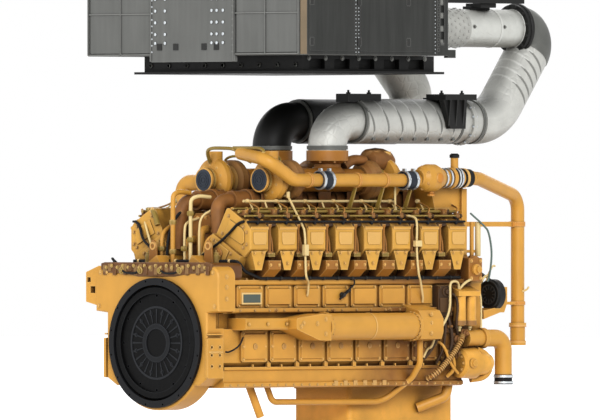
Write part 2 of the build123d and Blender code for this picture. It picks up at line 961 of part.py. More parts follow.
# Wiring harness: across the rear, down the corner and along the right side
harness_y = head_flange_y + 10
with BuildPart() as wiring_harness:
    tube(
        [
            (300, 500, 555),
            (300, -510, 555),
            (356, -harness_y, 486),
            (500, -harness_y, head_flange_z[1] + 11),
            (2440, -harness_y, head_flange_z[1] + 11),
        ],
        [40, 60, 80],
        11,
    )
    seat_against(rear_gear_housing, cylinder_block, cylinder_heads, lifter_covers)
keep(wiring_harness, "wiring_harness")

# Drain pipe, oil line and suction pipe under the pan
with BuildPart() as drain_pipe:
    round_bar((611, -300, pan_floor_z + 15), (700, -320, -505), 27)
    seat_against(oil_pan)
keep(drain_pipe, "drain_pipe")

with BuildPart() as oil_line:
    tube(
        [
            (750, -330, pan_floor_z + 10),
            (800, -335, -405),
            (1860, -340, -412),
            (1985, -500, -250),
            (1985, -cooler_y + 20, -150),
            (1985, -cooler_y + 20, 40),
        ],
        [60, 140, 100, 60],
        21,
    )
    seat_against(oil_pan, oil_cooler_housings, cylinder_block, crankcase_covers)
keep(oil_line, "oil_line")

with BuildPart() as suction_pipe:
    tube(
        [(2440, -400, pan_floor_z), (2420, -400, -380), (2260, -sump_y, -460)],
        [60],
        35,
    )
    seat_against(oil_sump, oil_pan)
keep(suction_pipe, "suction_pipe")


def duct_elbow(side):
    """Adds the bend that leads up from a collector and forward."""
    tube(
        [
            (middle_x, side * turbo_y, duct_start_z),
            (middle_x, side * turbo_y, duct_z),
            (lagging_start_x + 40, side * turbo_y, duct_z),
        ],
        [180],
        duct_r,
    )


# Exhaust ducts: an elbow over each collector, then a thick lagged run forward
with BuildPart() as right_exhaust_elbow:
    duct_elbow(-1)
keep(right_exhaust_elbow, "right_exhaust_elbow")

with BuildPart() as left_exhaust_elbow:
    duct_elbow(1)
keep(left_exhaust_elbow, "left_exhaust_elbow")

joint_middle_x = sum(joint_x) / 2
with BuildPart() as right_duct_run:
    turned(
        (lagging_start_x + 40, -turbo_y, duct_z),
        (1, 0, 0),
        [
            (0, duct_r + 4),
            (8, lagging_r),
            (joint_x[0] - lagging_start_x - 40, lagging_r),
            (joint_x[0] - lagging_start_x - 40, lagging_r - 8),
            (joint_middle_x - lagging_start_x - 54, lagging_r - 8),
            (joint_middle_x - lagging_start_x - 54, lagging_r + 8),
            (joint_middle_x - lagging_start_x - 26, lagging_r + 8),
            (joint_middle_x - lagging_start_x - 26, lagging_r - 8),
            (joint_x[1] - lagging_start_x - 40, lagging_r - 8),
        ],
    )
keep(right_duct_run, "right_duct_run")

left_riser_x = 2592
with BuildPart() as left_duct_run:
    turned(
        (lagging_start_x + 40, turbo_y, duct_z),
        (1, 0, 0),
        [(0, duct_r + 4), (8, lagging_r), (left_riser_x - lagging_start_x - 40, lagging_r)],
    )
keep(left_duct_run, "left_duct_run")

# Right riser: a gentle bend, then a slanted run up to the tight bend
turn = math.radians(riser_turn)
u_centre = (u_bend_x, inlet_z - u_bend_r)
u_end = (u_centre[0] + u_bend_r * math.sin(turn), u_centre[1] + u_bend_r * math.cos(turn))
with BuildPart() as right_duct_riser:
    tube(
        [
            (joint_x[1], -turbo_y, duct_z),
            (corner_x, -turbo_y, duct_z),
            (u_end[0], -turbo_y, u_end[1]),
        ],
        [330],
        lagging_r,
    )
keep(right_duct_riser, "right_duct_riser")

# Tight bend at the top, round on its outer side and flat where it meets itself
with BuildPart() as exhaust_u_bend:
    top_of_bend = Plane(origin=(u_bend_x, -turbo_y, inlet_z), x_dir=(0, 1, 0), z_dir=(1, 0, 0))
    with BuildSketch(top_of_bend) as bend_section:
        Circle(u_tube_r)
        with Locations((0, -u_bend_r - u_tube_r)):
            Rectangle(3 * u_tube_r, 2 * u_tube_r, mode=Mode.SUBTRACT)
    bend_axis = Axis((u_centre[0], -turbo_y, u_centre[1]), (0, 1, 0))
    revolve(bend_section.sketch, axis=bend_axis, revolution_arc=riser_turn)
    seat_against(right_duct_riser)
keep(exhaust_u_bend, "exhaust_u_bend")

with BuildPart() as inlet_clamp_ring:
    turned(
        (u_bend_x - 30, -turbo_y, inlet_z),
        (1, 0, 0),
        [(0, 160), (0, 170), (6, 176), (24, 176), (30, 170)],
    )
    seat_against(right_duct_riser)
keep(inlet_clamp_ring, "inlet_clamp_ring")

with BuildPart() as module_inlet_pipe:
    inlet_length = u_bend_x - 30 - frame_front_x
    turned(
        (frame_front_x, -turbo_y, inlet_z),
        (1, 0, 0),
        [
            (0, inlet_pipe_r + 30),
            (18, inlet_pipe_r + 30),
            (18, inlet_pipe_r),
            (inlet_length - 30, inlet_pipe_r),
            (inlet_length - 12, inlet_pipe_r + 20),
            (inlet_length, inlet_pipe_r + 20),
        ],
    )
    seat_against(right_duct_riser)
keep(module_inlet_pipe, "module_inlet_pipe")

# Left riser: back over the run and up under the module
with BuildPart() as left_duct_riser:
    tube(
        [
            (left_riser_x, turbo_y, duct_z),
            (2965, turbo_y, duct_z),
            (2405, turbo_y, inlet_z - 60),
            (frame_front_x, turbo_y, inlet_z - 60),
        ],
        [157, 160],
        lagging_r - 6,
    )
    seat_against(left_duct_run)
keep(left_duct_riser, "left_duct_riser")

# Saddles that sit on the right duct, one with a gusset that hangs beside it
gusset_y = (426, 470)
with BuildPart() as duct_saddles:
    box_between((1540, 1860), between(-1, turbo_y - 60, turbo_y + 60), (duct_z + 130, 1700))
    box_between((2340, 2645), between(-1, turbo_y + 20, 480), (1660, 1700))
    box_between((2400, 2585), between(-1, turbo_y - 70, turbo_y + 60), (duct_z + 120, 1676))
    with BuildSketch(Plane.XZ.offset(gusset_y[0])) as gusset:
        with BuildLine():
            Polyline((2330, 1662), (2560, 1662), (2545, 1462), (2400, 1462), close=True)
        make_face()
    extrude(gusset.sketch, amount=gusset_y[1] - gusset_y[0])
    seat_against(right_duct_run, right_exhaust_elbow)
keep(duct_saddles, "duct_saddles")

# Module: case, rear panels, side doors, front frame and base frame
case_y = module_y - 14
module_z = (module_floor_z, module_top_z)
module_middle_z = (module_floor_z + module_top_z) / 2
module_height = module_top_z - module_floor_z
with BuildPart() as module_case:
    box_between((module_rear_x + 20, module_front_x), (-case_y, case_y), module_z)
keep(module_case, "module_case")

# Rear: a pressed panel on each side of a long bolted plate
plate_half_y = 400
plate_gap = 4
with BuildPart() as module_rear_panels:
    inner_y = plate_half_y + plate_gap
    for side in (-1, 1):
        panel_origin = (module_rear_x + 20, side * (inner_y + case_y) / 2, module_middle_z)
        panel_plane = Plane(origin=panel_origin, x_dir=(0, 1, 0), z_dir=(-1, 0, 0))
        pressed_panel(panel_plane, case_y - inner_y, module_height, 20, 8, 14)
    bolt_plate_x = (module_rear_x - 14, module_rear_x + 20)
    box_between(bolt_plate_x, (-plate_half_y, plate_half_y), (module_floor_z - 44, module_top_z))
keep(module_rear_panels, "module_rear_panels")

# Sides: a corner column and two pressed doors
door_spans = ((module_rear_x + 60, 920), (926, module_front_x))
with BuildPart() as module_side_doors:
    for side in (-1, 1):
        for span in door_spans:
            door_plane = side_plane(side, (span[0] + span[1]) / 2, case_y, module_middle_z)
            pressed_panel(door_plane, span[1] - span[0], module_height, 10, 4, 22)
        column_y = between(side, case_y, module_y)
        box_between((module_rear_x, module_rear_x + 56), column_y, module_z)
keep(module_side_doors, "module_side_doors")

# Front: an upright frame with a recess and a foot block on each side
with BuildPart() as module_front_frame:
    box_between((module_front_x, frame_front_x), (-module_y, module_y), module_z)
    recess_x = (module_front_x + 36, frame_front_x - 36)
    for side in (-1, 1):
        recess_y = between(side, module_y - 16, module_y + 1)
        box_between(recess_x, recess_y, (module_floor_z + 90, module_top_z), Mode.SUBTRACT)
        foot_block_y = between(side, module_y - 40, module_y)
        foot_block_z = (module_floor_z - 14, module_floor_z + 42)
        box_between((frame_front_x, frame_front_x + 74), foot_block_y, foot_block_z)
keep(module_front_frame, "module_front_frame")

# Base frame: a deep beam with a lip all round its foot and pockets along its sides
lip_width = 50
lip_height = 16
pocket_length = 150
pocket_pitch = 240
with BuildPart() as module_base_frame:
    box_between(base_frame_x, (-base_frame_y, base_frame_y), base_frame_z)
    with BuildSketch(Plane.XY.offset(base_frame_z[0])):
        with Locations(((base_frame_x[0] + base_frame_x[1]) / 2, 0)):
            Rectangle(
                base_frame_x[1] - base_frame_x[0] + 2 * lip_width,
                2 * (base_frame_y + lip_width),
            )
    extrude(amount=lip_height)
    seat_against(module_rear_panels, module_front_frame, left_duct_riser)
    pocket_z = (base_frame_z[0] + 30, base_frame_z[1] - 24)
    for side in (-1, 1):
        pocket_y = between(side, base_frame_y - 40, base_frame_y + 1)
        for x in range(base_frame_x[0] + 60, base_frame_x[1] - 100, pocket_pitch):
            box_between((x, x + pocket_length), pocket_y, pocket_z, Mode.SUBTRACT)
keep(module_base_frame, "module_base_frame")
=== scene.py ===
import json
import math

import bpy
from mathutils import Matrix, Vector


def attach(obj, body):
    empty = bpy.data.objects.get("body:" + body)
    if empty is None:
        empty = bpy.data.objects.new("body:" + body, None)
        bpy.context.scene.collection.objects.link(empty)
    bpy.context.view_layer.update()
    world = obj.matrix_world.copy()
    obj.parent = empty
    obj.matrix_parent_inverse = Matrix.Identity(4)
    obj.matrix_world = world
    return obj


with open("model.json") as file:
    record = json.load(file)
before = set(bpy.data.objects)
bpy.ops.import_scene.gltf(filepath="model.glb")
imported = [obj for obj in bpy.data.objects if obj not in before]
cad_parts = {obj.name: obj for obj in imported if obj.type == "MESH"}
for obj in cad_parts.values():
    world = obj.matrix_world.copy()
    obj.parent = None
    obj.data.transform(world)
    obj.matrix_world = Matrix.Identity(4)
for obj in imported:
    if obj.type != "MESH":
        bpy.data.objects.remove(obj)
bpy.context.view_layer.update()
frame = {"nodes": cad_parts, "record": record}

MM = 0.001
UP, DOWN, LEFT, RIGHT = (0, 0, 1), (0, 0, -1), (0, 1, 0), (0, -1, 0)
AHEAD, BACK = (1, 0, 0), (-1, 0, 0)

# Places on the engine, in mm, as the solids have them
PITCH = 275
CYLINDERS = [434 + PITCH * i for i in range(8)]
GAPS = [x + PITCH / 2 for x in CYLINDERS[:-1]]
MIDDLE_X = 1396.5
COVER_FACE_Y = 582
SIDE_Y = 475
TURBO_Y = 270
TURBO_Z = 1108
TURBO_LIP = 658
DUCT_Z = 1512
HEADER_Y = 480
HEADER_Z = 1107
FILTERS_X = (2408, 2508)
FILTERS_Y = 545
RETURN_X = 3234
RETURN_Y = 300
MODULE_Y = 1032
MODULE_REAR_X = 366


def colour(red, green, blue):
    """A paint-chart colour, 0 to 255, as the light values that a shader takes."""
    values = []
    for part in (red, green, blue):
        share = part / 255
        values.append(share / 12.92 if share <= 0.04045 else ((share + 0.055) / 1.055) ** 2.4)
    return (*values, 1.0)


# Shapes


class Shape:
    """The corners and faces of one piece, in mm, before it becomes a mesh."""

    def __init__(self):
        self.points = []
        self.faces = []

    def add(self, points, faces):
        """Adds corners, and the faces between them by their numbers."""
        first = len(self.points)
        self.points.extend(points)
        self.faces.extend([tuple(first + i for i in face) for face in faces])

    def mirrored(self):
        """The same shape with its twin on the other side of the engine."""
        points = [(x, -y, z) for x, y, z in self.points]
        self.add(points, [tuple(reversed(face)) for face in self.faces])
        return self

    def joined(self, outlines, capped=True):
        """Joins outlines in turn; caps close both ends, or else the last meets the first."""
        count, sides = len(outlines), len(outlines[0])
        faces = []
        for ring in range(count - 1 if capped else count):
            after = (ring + 1) % count
            for k in range(sides):
                here, beside = ring * sides + k, ring * sides + (k + 1) % sides
                faces.append((here, beside, after * sides + (k + 1) % sides, after * sides + k))
        if capped:
            last = (count - 1) * sides
            faces += [tuple(range(sides - 1, -1, -1)), tuple(range(last, last + sides))]
        self.add([tuple(place) for outline in outlines for place in outline], faces)

    def turned(self, start, way, steps, sides=24):
        """A turned piece, from pairs of distance along way and radius, with both ends closed."""
        first, second, along = axes_for(way)
        start = Vector(start)
        self.joined([circle(start + along * d, first, second, r, sides) for d, r in steps])

    def ring(self, centre, way, inner, outer, depth, sides=32):
        """A flat ring, such as a band or a flange, with its middle at centre."""
        first, second, along = axes_for(way)
        near, far = Vector(centre) - along * depth / 2, Vector(centre) + along * depth / 2
        rims = ((near, inner), (near, outer), (far, outer), (far, inner))
        self.joined([circle(middle, first, second, r, sides) for middle, r in rims], False)

    def bolt(self, place, way, radius=9, height=8):
        """A hexagon head on its washer."""
        self.turned(place, way, [(0, radius * 1.5), (height * 0.25, radius * 1.5)], 12)
        head = [(height * 0.2, radius), (height * 0.85, radius), (height, radius * 0.82)]
        self.turned(place, way, head, 6)

    def bolts(self, x, y, z, way, radius=9, height=8):
        """Bolts at every crossing of x, y and z, each a number or several."""
        for place in crossings(x, y, z):
            self.bolt(place, way, radius, height)

    def bolt_circle(self, centre, way, radius, count, size, height, turn=0.0):
        """Bolts evenly round centre, in the plane across the crankshaft."""
        for k in range(count):
            place = Vector(centre) + spoke(2 * math.pi * k / count + turn) * radius
            self.bolt(place, way, size, height)

    def block(self, x, y, z):
        """A block from its low and high corners on each axis."""
        points = [(a, b, c) for c in z for b in y for a in x]
        faces = [(0, 2, 3, 1), (4, 5, 7, 6), (0, 1, 5, 4), (2, 6, 7, 3), (0, 4, 6, 2), (1, 3, 7, 5)]
        self.add(points, faces)

    def slab(self, outline, start, step):
        """A flat outline of 3-D points, from start, thickened by the vector step."""
        near = [Vector(p) + Vector(start) for p in outline]
        far = [p + Vector(step) for p in near]
        normal = Vector((0, 0, 0))
        for here, after in zip(near, near[1:] + near[:1]):
            normal += here.cross(after)
        first = len(self.faces)
        self.joined([near, far])
        faces = self.faces[-2:] + self.faces[first:-2]
        if normal.dot(Vector(step)) < 0:
            faces = [tuple(reversed(face)) for face in faces]
        self.faces[first:] = faces

    def ray(self, centre, angle, near, far, depth):
        """A flat ray across the crankshaft; near and far are pairs of radius and half width."""
        out, across = spoke(angle), spoke(angle + math.pi / 2)
        sides = ((near, -1), (near, 1), (far, 1), (far, -1))
        outline = [out * radius + across * half * side for (radius, half), side in sides]
        self.slab(outline, centre, (-depth, 0, 0))

    def pipe(self, points, radius, sides=10):
        """A round pipe along an eased line, with closed ends."""
        line = eased(points) if len(points) > 2 else [Vector(p) for p in points]
        first, _, along = axes_for(line[1] - line[0])
        outlines = []
        for i, place in enumerate(line):
            before = line[i] - line[max(i - 1, 0)]
            after = line[min(i + 1, len(line) - 1)] - line[i]
            along = (before.normalized() + after.normalized()).normalized()
            first = (first - along * first.dot(along)).normalized()
            outlines.append(circle(place, first, along.cross(first), radius, sides))
        self.joined(outlines)


def circle(centre, first, second, radius, sides):
    """Places evenly round centre, in the plane of two unit vectors."""
    angles = [2 * math.pi * k / sides for k in range(sides)]
    return [centre + (first * math.cos(a) + second * math.sin(a)) * radius for a in angles]


def shapes(count):
    """As many empty shapes."""
    return [Shape() for _ in range(count)]


def both_halves(half):
    """An even outline, as pairs, from its right half; the left one mirrors it."""
    left = [(-across, height) for across, height in half]
    return left[:1] + half + left[:0:-1]


def axes_for(way):
    """Three unit vectors: across, across again, and along way."""
    along = Vector(way).normalized()
    side = Vector(UP) if abs(along.z) < 0.9 else Vector(AHEAD)
    first = side.cross(along).normalized()
    return first, along.cross(first).normalized(), along


def spoke(angle):
    """A unit vector across the crankshaft, at this angle from upright."""
    return Vector((0, math.sin(angle), math.cos(angle)))


def crossings(x, y, z):
    """Every (x, y, z) of three lists; a plain number stands for a list of one."""
    lists = [(part,) if isinstance(part, (int, float)) else part for part in (x, y, z)]
    return [(a, b, c) for a in lists[0] for b in lists[1] for c in lists[2]]


def eased(points):
    """A line through points with its corners cut and cut again."""
    line = [Vector(p) for p in points]
    for _ in range(2):
        fresh = [line[0]]
        for a, b in zip(line, line[1:]):
            fresh += [a.lerp(b, 0.25), a.lerp(b, 0.75)]
        line = fresh + [line[-1]]
    return line


def put(thing):
    """Puts an object in the scene."""
    bpy.context.scene.collection.objects.link(thing)


def piece(name, shape, finish, body="engine", bevel=0.0, slot=None):
    """Makes the shape into an object in metres, with its finish, softened edges and body."""
    mesh = bpy.data.meshes.new(name)
    mesh.from_pydata([(x * MM, y * MM, z * MM) for x, y, z in shape.points], [], shape.faces)
    mesh.validate()
    mesh.shade_smooth()
    mesh.set_sharp_from_angle(angle=math.radians(40))
    mesh.materials.append(finish)
    thing = bpy.data.objects.new(name, mesh)
    put(thing)
    if bevel:
        soft = thing.modifiers.new("soft edges", "BEVEL")
        soft.width = bevel * MM
        soft.segments = 2
        soft.limit_method = "ANGLE"
        soft.angle_limit = math.radians(40)
    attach(thing, body)
    slot = slot or SLOT_OF[finish.name]


# Finishes


def math_node(tree, operation, first, second, clamp=False):
    """A Math node with each input a number or a socket."""
    node = tree.nodes.new("ShaderNodeMath")
    node.operation = operation
    node.use_clamp = clamp
    for k, value in enumerate((first, second)):
        if isinstance(value, (int, float)):
            node.inputs[k].default_value = value
        else:
            tree.links.new(value, node.inputs[k])
    return node.outputs[0]


def times(tree, first, second, clamp=False):
    """The product of two values or sockets."""
    return math_node(tree, "MULTIPLY", first, second, clamp)


def plus(tree, first, second, clamp=False):
    """The sum of two values or sockets."""
    return math_node(tree, "ADD", first, second, clamp)


def mix_colours(tree, share, first, second):
    """A colour Mix node; each of share, first and second is a value or a socket."""
    node = tree.nodes.new("ShaderNodeMix")
    node.data_type = "RGBA"
    node.clamp_factor = True
    for socket, value in ((node.inputs[0], share), (node.inputs[6], first), (node.inputs[7], second)):
        if isinstance(value, (int, float, tuple)):
            socket.default_value = value
        else:
            tree.links.new(value, socket)
    return node.outputs[2]


def noise(tree, place, scale, detail=4.0, rough=0.55):
    """A noise texture on the given place socket."""
    node = tree.nodes.new("ShaderNodeTexNoise")
    node.inputs["Scale"].default_value = scale
    node.inputs["Detail"].default_value = detail
    node.inputs["Roughness"].default_value = rough
    tree.links.new(place, node.inputs["Vector"])
    return node.outputs["Fac"]


def stretch(tree, value, low, high):
    """Spreads a value from low..high to 0..1 and clamps it."""
    node = tree.nodes.new("ShaderNodeMapRange")
    node.inputs["From Min"].default_value = low
    node.inputs["From Max"].default_value = high
    tree.links.new(value, node.inputs["Value"])
    return node.outputs["Result"]


def object_place(tree):
    """The place on the engine, as a socket."""
    return tree.nodes.new("ShaderNodeTexCoord").outputs["Object"]


def parts_of(tree, value):
    """The X, Y and Z of a vector socket."""
    node = tree.nodes.new("ShaderNodeSeparateXYZ")
    tree.links.new(value, node.inputs[0])
    return node.outputs


def upwardness(tree):
    """How far a surface faces up, from -1 to 1."""
    return parts_of(tree, tree.nodes.new("ShaderNodeNewGeometry").outputs["Normal"])["Z"]


def make_shade_and_weathering():
    """Group: painted shade in the corners, painted highlights on the edges and a cloudy tone over a base
    colour.
    """
    group = bpy.data.node_groups.new("shade_and_weathering", "ShaderNodeTree")
    for name, value in (
        ("Colour", (0.5, 0.5, 0.5, 1)),
        ("Corner colour", (0.1, 0.1, 0.1, 1)),
        ("Edge colour", (0.8, 0.8, 0.8, 1)),
        ("Corner reach", 0.09),
        ("Corner amount", 0.8),
        ("Edge amount", 0.4),
        ("Cloud amount", 0.15),
        ("Cloud scale", 6.0),
    ):
        kind = "NodeSocketColor" if isinstance(value, tuple) else "NodeSocketFloat"
        made = group.interface.new_socket(name=name, in_out="INPUT", socket_type=kind)
        made.default_value = value
    for name in ("Colour", "Corner shade", "Grain"):
        kind = "NodeSocketColor" if name == "Colour" else "NodeSocketFloat"
        group.interface.new_socket(name=name, in_out="OUTPUT", socket_type=kind)
    nodes = group.nodes
    source, sink = nodes.new("NodeGroupInput"), nodes.new("NodeGroupOutput")
    place = object_place(group)
    # Painted shade: where ambient occlusion finds corners and gaps, the colour darkens towards the corner
    # colour.
    corners = nodes.new("ShaderNodeAmbientOcclusion")
    corners.samples = 6
    group.links.new(source.outputs["Corner reach"], corners.inputs["Distance"])
    # Painted highlight: convex edges lighten towards the edge colour.
    edges = nodes.new("ShaderNodeAmbientOcclusion")
    edges.samples = 4
    edges.inside = True
    edges.inputs["Distance"].default_value = 0.008
    cloud_node = nodes.new("ShaderNodeTexNoise")
    cloud_node.inputs["Detail"].default_value = 5.0
    group.links.new(source.outputs["Cloud scale"], cloud_node.inputs["Scale"])
    group.links.new(place, cloud_node.inputs["Vector"])
    cloud = stretch(group, cloud_node.outputs["Fac"], 0.3, 0.7)
    speckle = noise(group, place, 160.0, 3.0)
    hidden = math_node(group, "SUBTRACT", 1.0, corners.outputs["AO"], clamp=True)
    ragged = plus(group, 0.75, times(group, cloud, 0.5))
    rough_edge = stretch(group, times(group, hidden, ragged), 0.12, 0.85)
    corner_shade = times(group, rough_edge, source.outputs["Corner amount"], clamp=True)
    edge_mask = math_node(group, "SUBTRACT", 1.0, edges.outputs["AO"], clamp=True)
    edge_mask = stretch(group, edge_mask, 0.18, 0.6)
    edge_highlight = times(group, edge_mask, source.outputs["Edge amount"], clamp=True)
    tone = math_node(group, "SUBTRACT", cloud, 0.5)
    tone = times(group, tone, source.outputs["Cloud amount"])
    tone = plus(group, 1.0, tone)
    toned = nodes.new("ShaderNodeVectorMath")
    toned.operation = "SCALE"
    group.links.new(source.outputs["Colour"], toned.inputs[0])
    group.links.new(tone, toned.inputs["Scale"])
    highlighted = mix_colours(group, edge_highlight, toned.outputs[0], source.outputs["Edge colour"])
    final = mix_colours(group, corner_shade, highlighted, source.outputs["Corner colour"])
    for name, value in (("Colour", final), ("Corner shade", corner_shade), ("Grain", speckle)):
        group.links.new(value, sink.inputs[name])
    return group


shade_and_weathering = make_shade_and_weathering()


DULLNESS = 0.42
CORNER_ROUGHENING = 0.35


def new_finish(name, roughness, metallic=0.0, specular=None):
    """A material with its Principled shader; returns both and the node tree."""
    finish = bpy.data.materials.new(name)
    finish.use_nodes = True
    tree = finish.node_tree
    shader = tree.nodes["Principled BSDF"]
    shader.inputs["Roughness"].default_value = roughness
    shader.inputs["Metallic"].default_value = metallic
    if specular is not None:
        shader.inputs["Specular IOR Level"].default_value = specular
    return finish, tree, shader


def add_shade_and_wear(
    tree, shader, base, corner, edge, reach=0.09, corners=0.8, edges=0.4, clouds=0.15, scale=6.0
):
    """Puts the group of painted corner shade, painted edge highlights and cloudy tone on the shader's colour;
    base is a colour or a socket.
    """
    node = tree.nodes.new("ShaderNodeGroup")
    node.node_tree = shade_and_weathering
    if isinstance(base, tuple):
        node.inputs["Colour"].default_value = base
    else:
        tree.links.new(base, node.inputs["Colour"])
    for name, value in (
        ("Corner colour", corner),
        ("Edge colour", edge),
        ("Corner reach", reach),
        ("Corner amount", corners),
        ("Edge amount", edges),
        ("Cloud amount", clouds),
        ("Cloud scale", scale),
    ):
        node.inputs[name].default_value = value
    tree.links.new(node.outputs["Colour"], shader.inputs["Base Color"])
    return node.outputs


def bump(tree, shader, height, strength, distance=0.002):
    """Feeds a height to the shader's normal."""
    node = tree.nodes.new("ShaderNodeBump")
    node.inputs["Strength"].default_value = strength
    node.inputs["Distance"].default_value = distance
    tree.links.new(height, node.inputs["Height"])
    tree.links.new(node.outputs["Normal"], shader.inputs["Normal"])


def enamel(tree, shader, base, corner, edge, roughness, grain, **shade_and_wear):
    """Enamel's colour with painted shade in its corners and painted highlights on its edges, rougher in the
    corners, with a fine orange peel.
    """
    layer = add_shade_and_wear(tree, shader, base, corner, edge, **shade_and_wear)
    corner_roughness = times(tree, layer["Corner shade"], CORNER_ROUGHENING)
    tree.links.new(plus(tree, roughness, corner_roughness), shader.inputs["Roughness"])
    bump(tree, shader, layer["Grain"], grain)


def painted(name, base, corner, edge, roughness=DULLNESS, grain=0.12, specular=0.36, **shade_and_wear):
    """Enamel over metal; corner is the colour of the painted shade in its corners and edge of the painted
    highlight on its edges.
    """
    finish, tree, shader = new_finish(name, roughness, specular=specular)
    enamel(tree, shader, base, corner, edge, roughness, grain, **shade_and_wear)
    return finish


def brushed(name, base, corner, edge, roughness, metallic, **shade_and_wear):
    """Bare or foil-faced metal with a rolled, slightly dented surface."""
    finish, tree, shader = new_finish(name, roughness, metallic)
    # Painted shade in the corners and painted highlights on the edges.
    add_shade_and_wear(tree, shader, base, corner, edge, **shade_and_wear)
    dents = noise(tree, object_place(tree), 14.0, 5.0, 0.6)
    rough = plus(tree, roughness - 0.08, times(tree, dents, 0.2))
    tree.links.new(rough, shader.inputs["Roughness"])
    bump(tree, shader, dents, 0.2, 0.01)
    return finish


# Colours of the yellow enamels' painted corner shade and painted edge highlight.
CORNER_SHADE_BROWN = colour(66, 34, 8)
EDGE_HIGHLIGHT_YELLOW = colour(248, 205, 128)


def make_yellow(
    name, base, corners=0.92, clouds=0.16, reach=0.11, edges=0.55, shaded_roof=None, shaded_front=None
):
    """Warm yellow enamel with painted brown shade in its corners and painted highlights on its edges, and
    painted shade on upward faces and in patches towards the front, each when its colour is given.
    """
    finish, tree, shader = new_finish(name, DULLNESS, specular=0.36)
    if shaded_roof:
        # Painted shade on upward faces, in patches: roofs that sit in shade under the turbochargers and
        # header.
        patches = stretch(tree, noise(tree, object_place(tree), 11.0, 5.0), 0.25, 0.6)
        roof = times(tree, stretch(tree, upwardness(tree), 0.25, 0.6), patches)
        base = mix_colours(tree, roof, base, shaded_roof)
    if shaded_front:
        # Painted shade: darker brown in patches towards the front of the engine.
        place = object_place(tree)
        patches = stretch(tree, noise(tree, place, 6.0, 5.0), 0.25, 0.62)
        patches = plus(tree, 0.55, times(tree, patches, 0.45))
        ahead = stretch(tree, parts_of(tree, place)["X"], 1.3, 1.8)
        base = mix_colours(tree, times(tree, ahead, patches), base, shaded_front)
    shade_and_wear = {"reach": reach, "corners": corners, "edges": edges, "clouds": clouds, "scale": 5.0}
    enamel(tree, shader, base, CORNER_SHADE_BROWN, EDGE_HIGHLIGHT_YELLOW, DULLNESS, 0.12, **shade_and_wear)
    return finish


def make_flywheel_finish():
    """Dark turned steel with a painted sheen: faint wide lighter rays round the crankshaft's axis."""
    finish, tree, shader = new_finish("turned dark steel", 0.5, specular=0.1)
    place = parts_of(tree, object_place(tree))
    # Painted sheen: lighter rays round the axis stand for the turned steel's reflection.
    angle = math_node(tree, "ARCTAN2", place["Y"], place["Z"])
    rays = tree.nodes.new("ShaderNodeCombineXYZ")
    tree.links.new(times(tree, angle, 6.0), rays.inputs[0])
    radial_sheen = stretch(tree, noise(tree, rays.outputs[0], 1.4, 3.0), 0.35, 0.75)
    steel = mix_colours(tree, radial_sheen, colour(4, 4, 5), colour(13, 13, 13))
    shade_and_wear = {"reach": 0.05, "corners": 0.7, "edges": 0.4, "clouds": 0.3, "scale": 9.0}
    layer = add_shade_and_wear(tree, shader, steel, colour(8, 8, 8), colour(70, 72, 76), **shade_and_wear)
    bump(tree, shader, layer["Grain"], 0.1)
    return finish


def make_lagging_finish(name, light, shade_and_stain_colour, top_share):
    """Silver lagging cloth and foil: wrinkled and stained, with painted shade along its top and on its
    underside.
    """
    finish, tree, shader = new_finish(name, 0.5, 0.25)
    place, facing = object_place(tree), upwardness(tree)
    stain = stretch(tree, noise(tree, place, 3.2, 6.0, 0.62), 0.5, 0.8)
    # Painted shade along the top, mixed with random stains.
    top_shade_and_stain = times(tree, stretch(tree, facing, 0.15, 0.98), top_share)
    top_shade_and_stain = plus(tree, top_shade_and_stain, times(tree, stain, 0.22), clamp=True)
    foil = mix_colours(tree, top_shade_and_stain, light, shade_and_stain_colour)
    # Painted shade on downward faces.
    below = times(tree, stretch(tree, facing, -0.45, -0.95), 0.7)
    foil = mix_colours(tree, below, foil, colour(92, 85, 72))
    shade_and_wear = {"reach": 0.07, "corners": 0.6, "edges": 0.3, "clouds": 0.16, "scale": 8.0}
    add_shade_and_wear(tree, shader, foil, colour(70, 68, 62), colour(238, 238, 234), **shade_and_wear)
    creases = tree.nodes.new("ShaderNodeTexVoronoi")
    creases.feature = "DISTANCE_TO_EDGE"
    creases.inputs["Scale"].default_value = 16.0
    tree.links.new(place, creases.inputs["Vector"])
    folds = stretch(tree, creases.outputs["Distance"], 0.0, 0.12)
    bump(tree, shader, plus(tree, folds, noise(tree, place, 26.0, 5.0)), 0.28, 0.006)
    return finish


def make_module_panel(name, base, streak_amount):
    """Matt grey sheet steel with faint upright streaks and dust, painted shade in its corners and painted
    highlights on its edges.
    """
    finish, tree, shader = new_finish(name, 0.7, specular=0.25)
    squeeze = tree.nodes.new("ShaderNodeMapping")
    squeeze.inputs["Scale"].default_value = (9.0, 9.0, 0.8)
    tree.links.new(object_place(tree), squeeze.inputs["Vector"])
    streaks = stretch(tree, noise(tree, squeeze.outputs[0], 2.2, 5.0), 0.3, 0.7)
    streaks = times(tree, streaks, streak_amount)
    sheet = mix_colours(tree, streaks, base, colour(150, 150, 147))
    shade_and_wear = {"reach": 0.05, "corners": 0.75, "edges": 0.35, "clouds": 0.14, "scale": 3.0}
    layer = add_shade_and_wear(tree, shader, sheet, colour(20, 20, 19), colour(170, 170, 166), **shade_and_wear)
    bump(tree, shader, layer["Grain"], 0.08)
    return finish


YELLOW = make_yellow("yellow enamel", colour(221, 161, 66))
# A darker, browner copy of the yellow enamel with a stronger cloudy tone.
YELLOW_TOP = make_yellow("yellow enamel, darker brown", colour(168, 110, 38), 0.97, 0.4, 0.18)
# The heads' enamel has painted shade on its upward faces.
YELLOW_HEADS = make_yellow(
    "yellow enamel, painted shade on roofs", colour(224, 168, 70), 0.98, 0.3, 0.26, shaded_roof=colour(112, 78, 28)
)
ORANGE = make_yellow("orange enamel", colour(214, 140, 48), 0.85)
PALE = make_yellow("cream enamel", colour(240, 214, 150), 0.6, 0.08)
STAINED_PAN = make_yellow("yellow enamel, oil-stained", colour(240, 176, 72), 0.97, 0.45, 0.2)
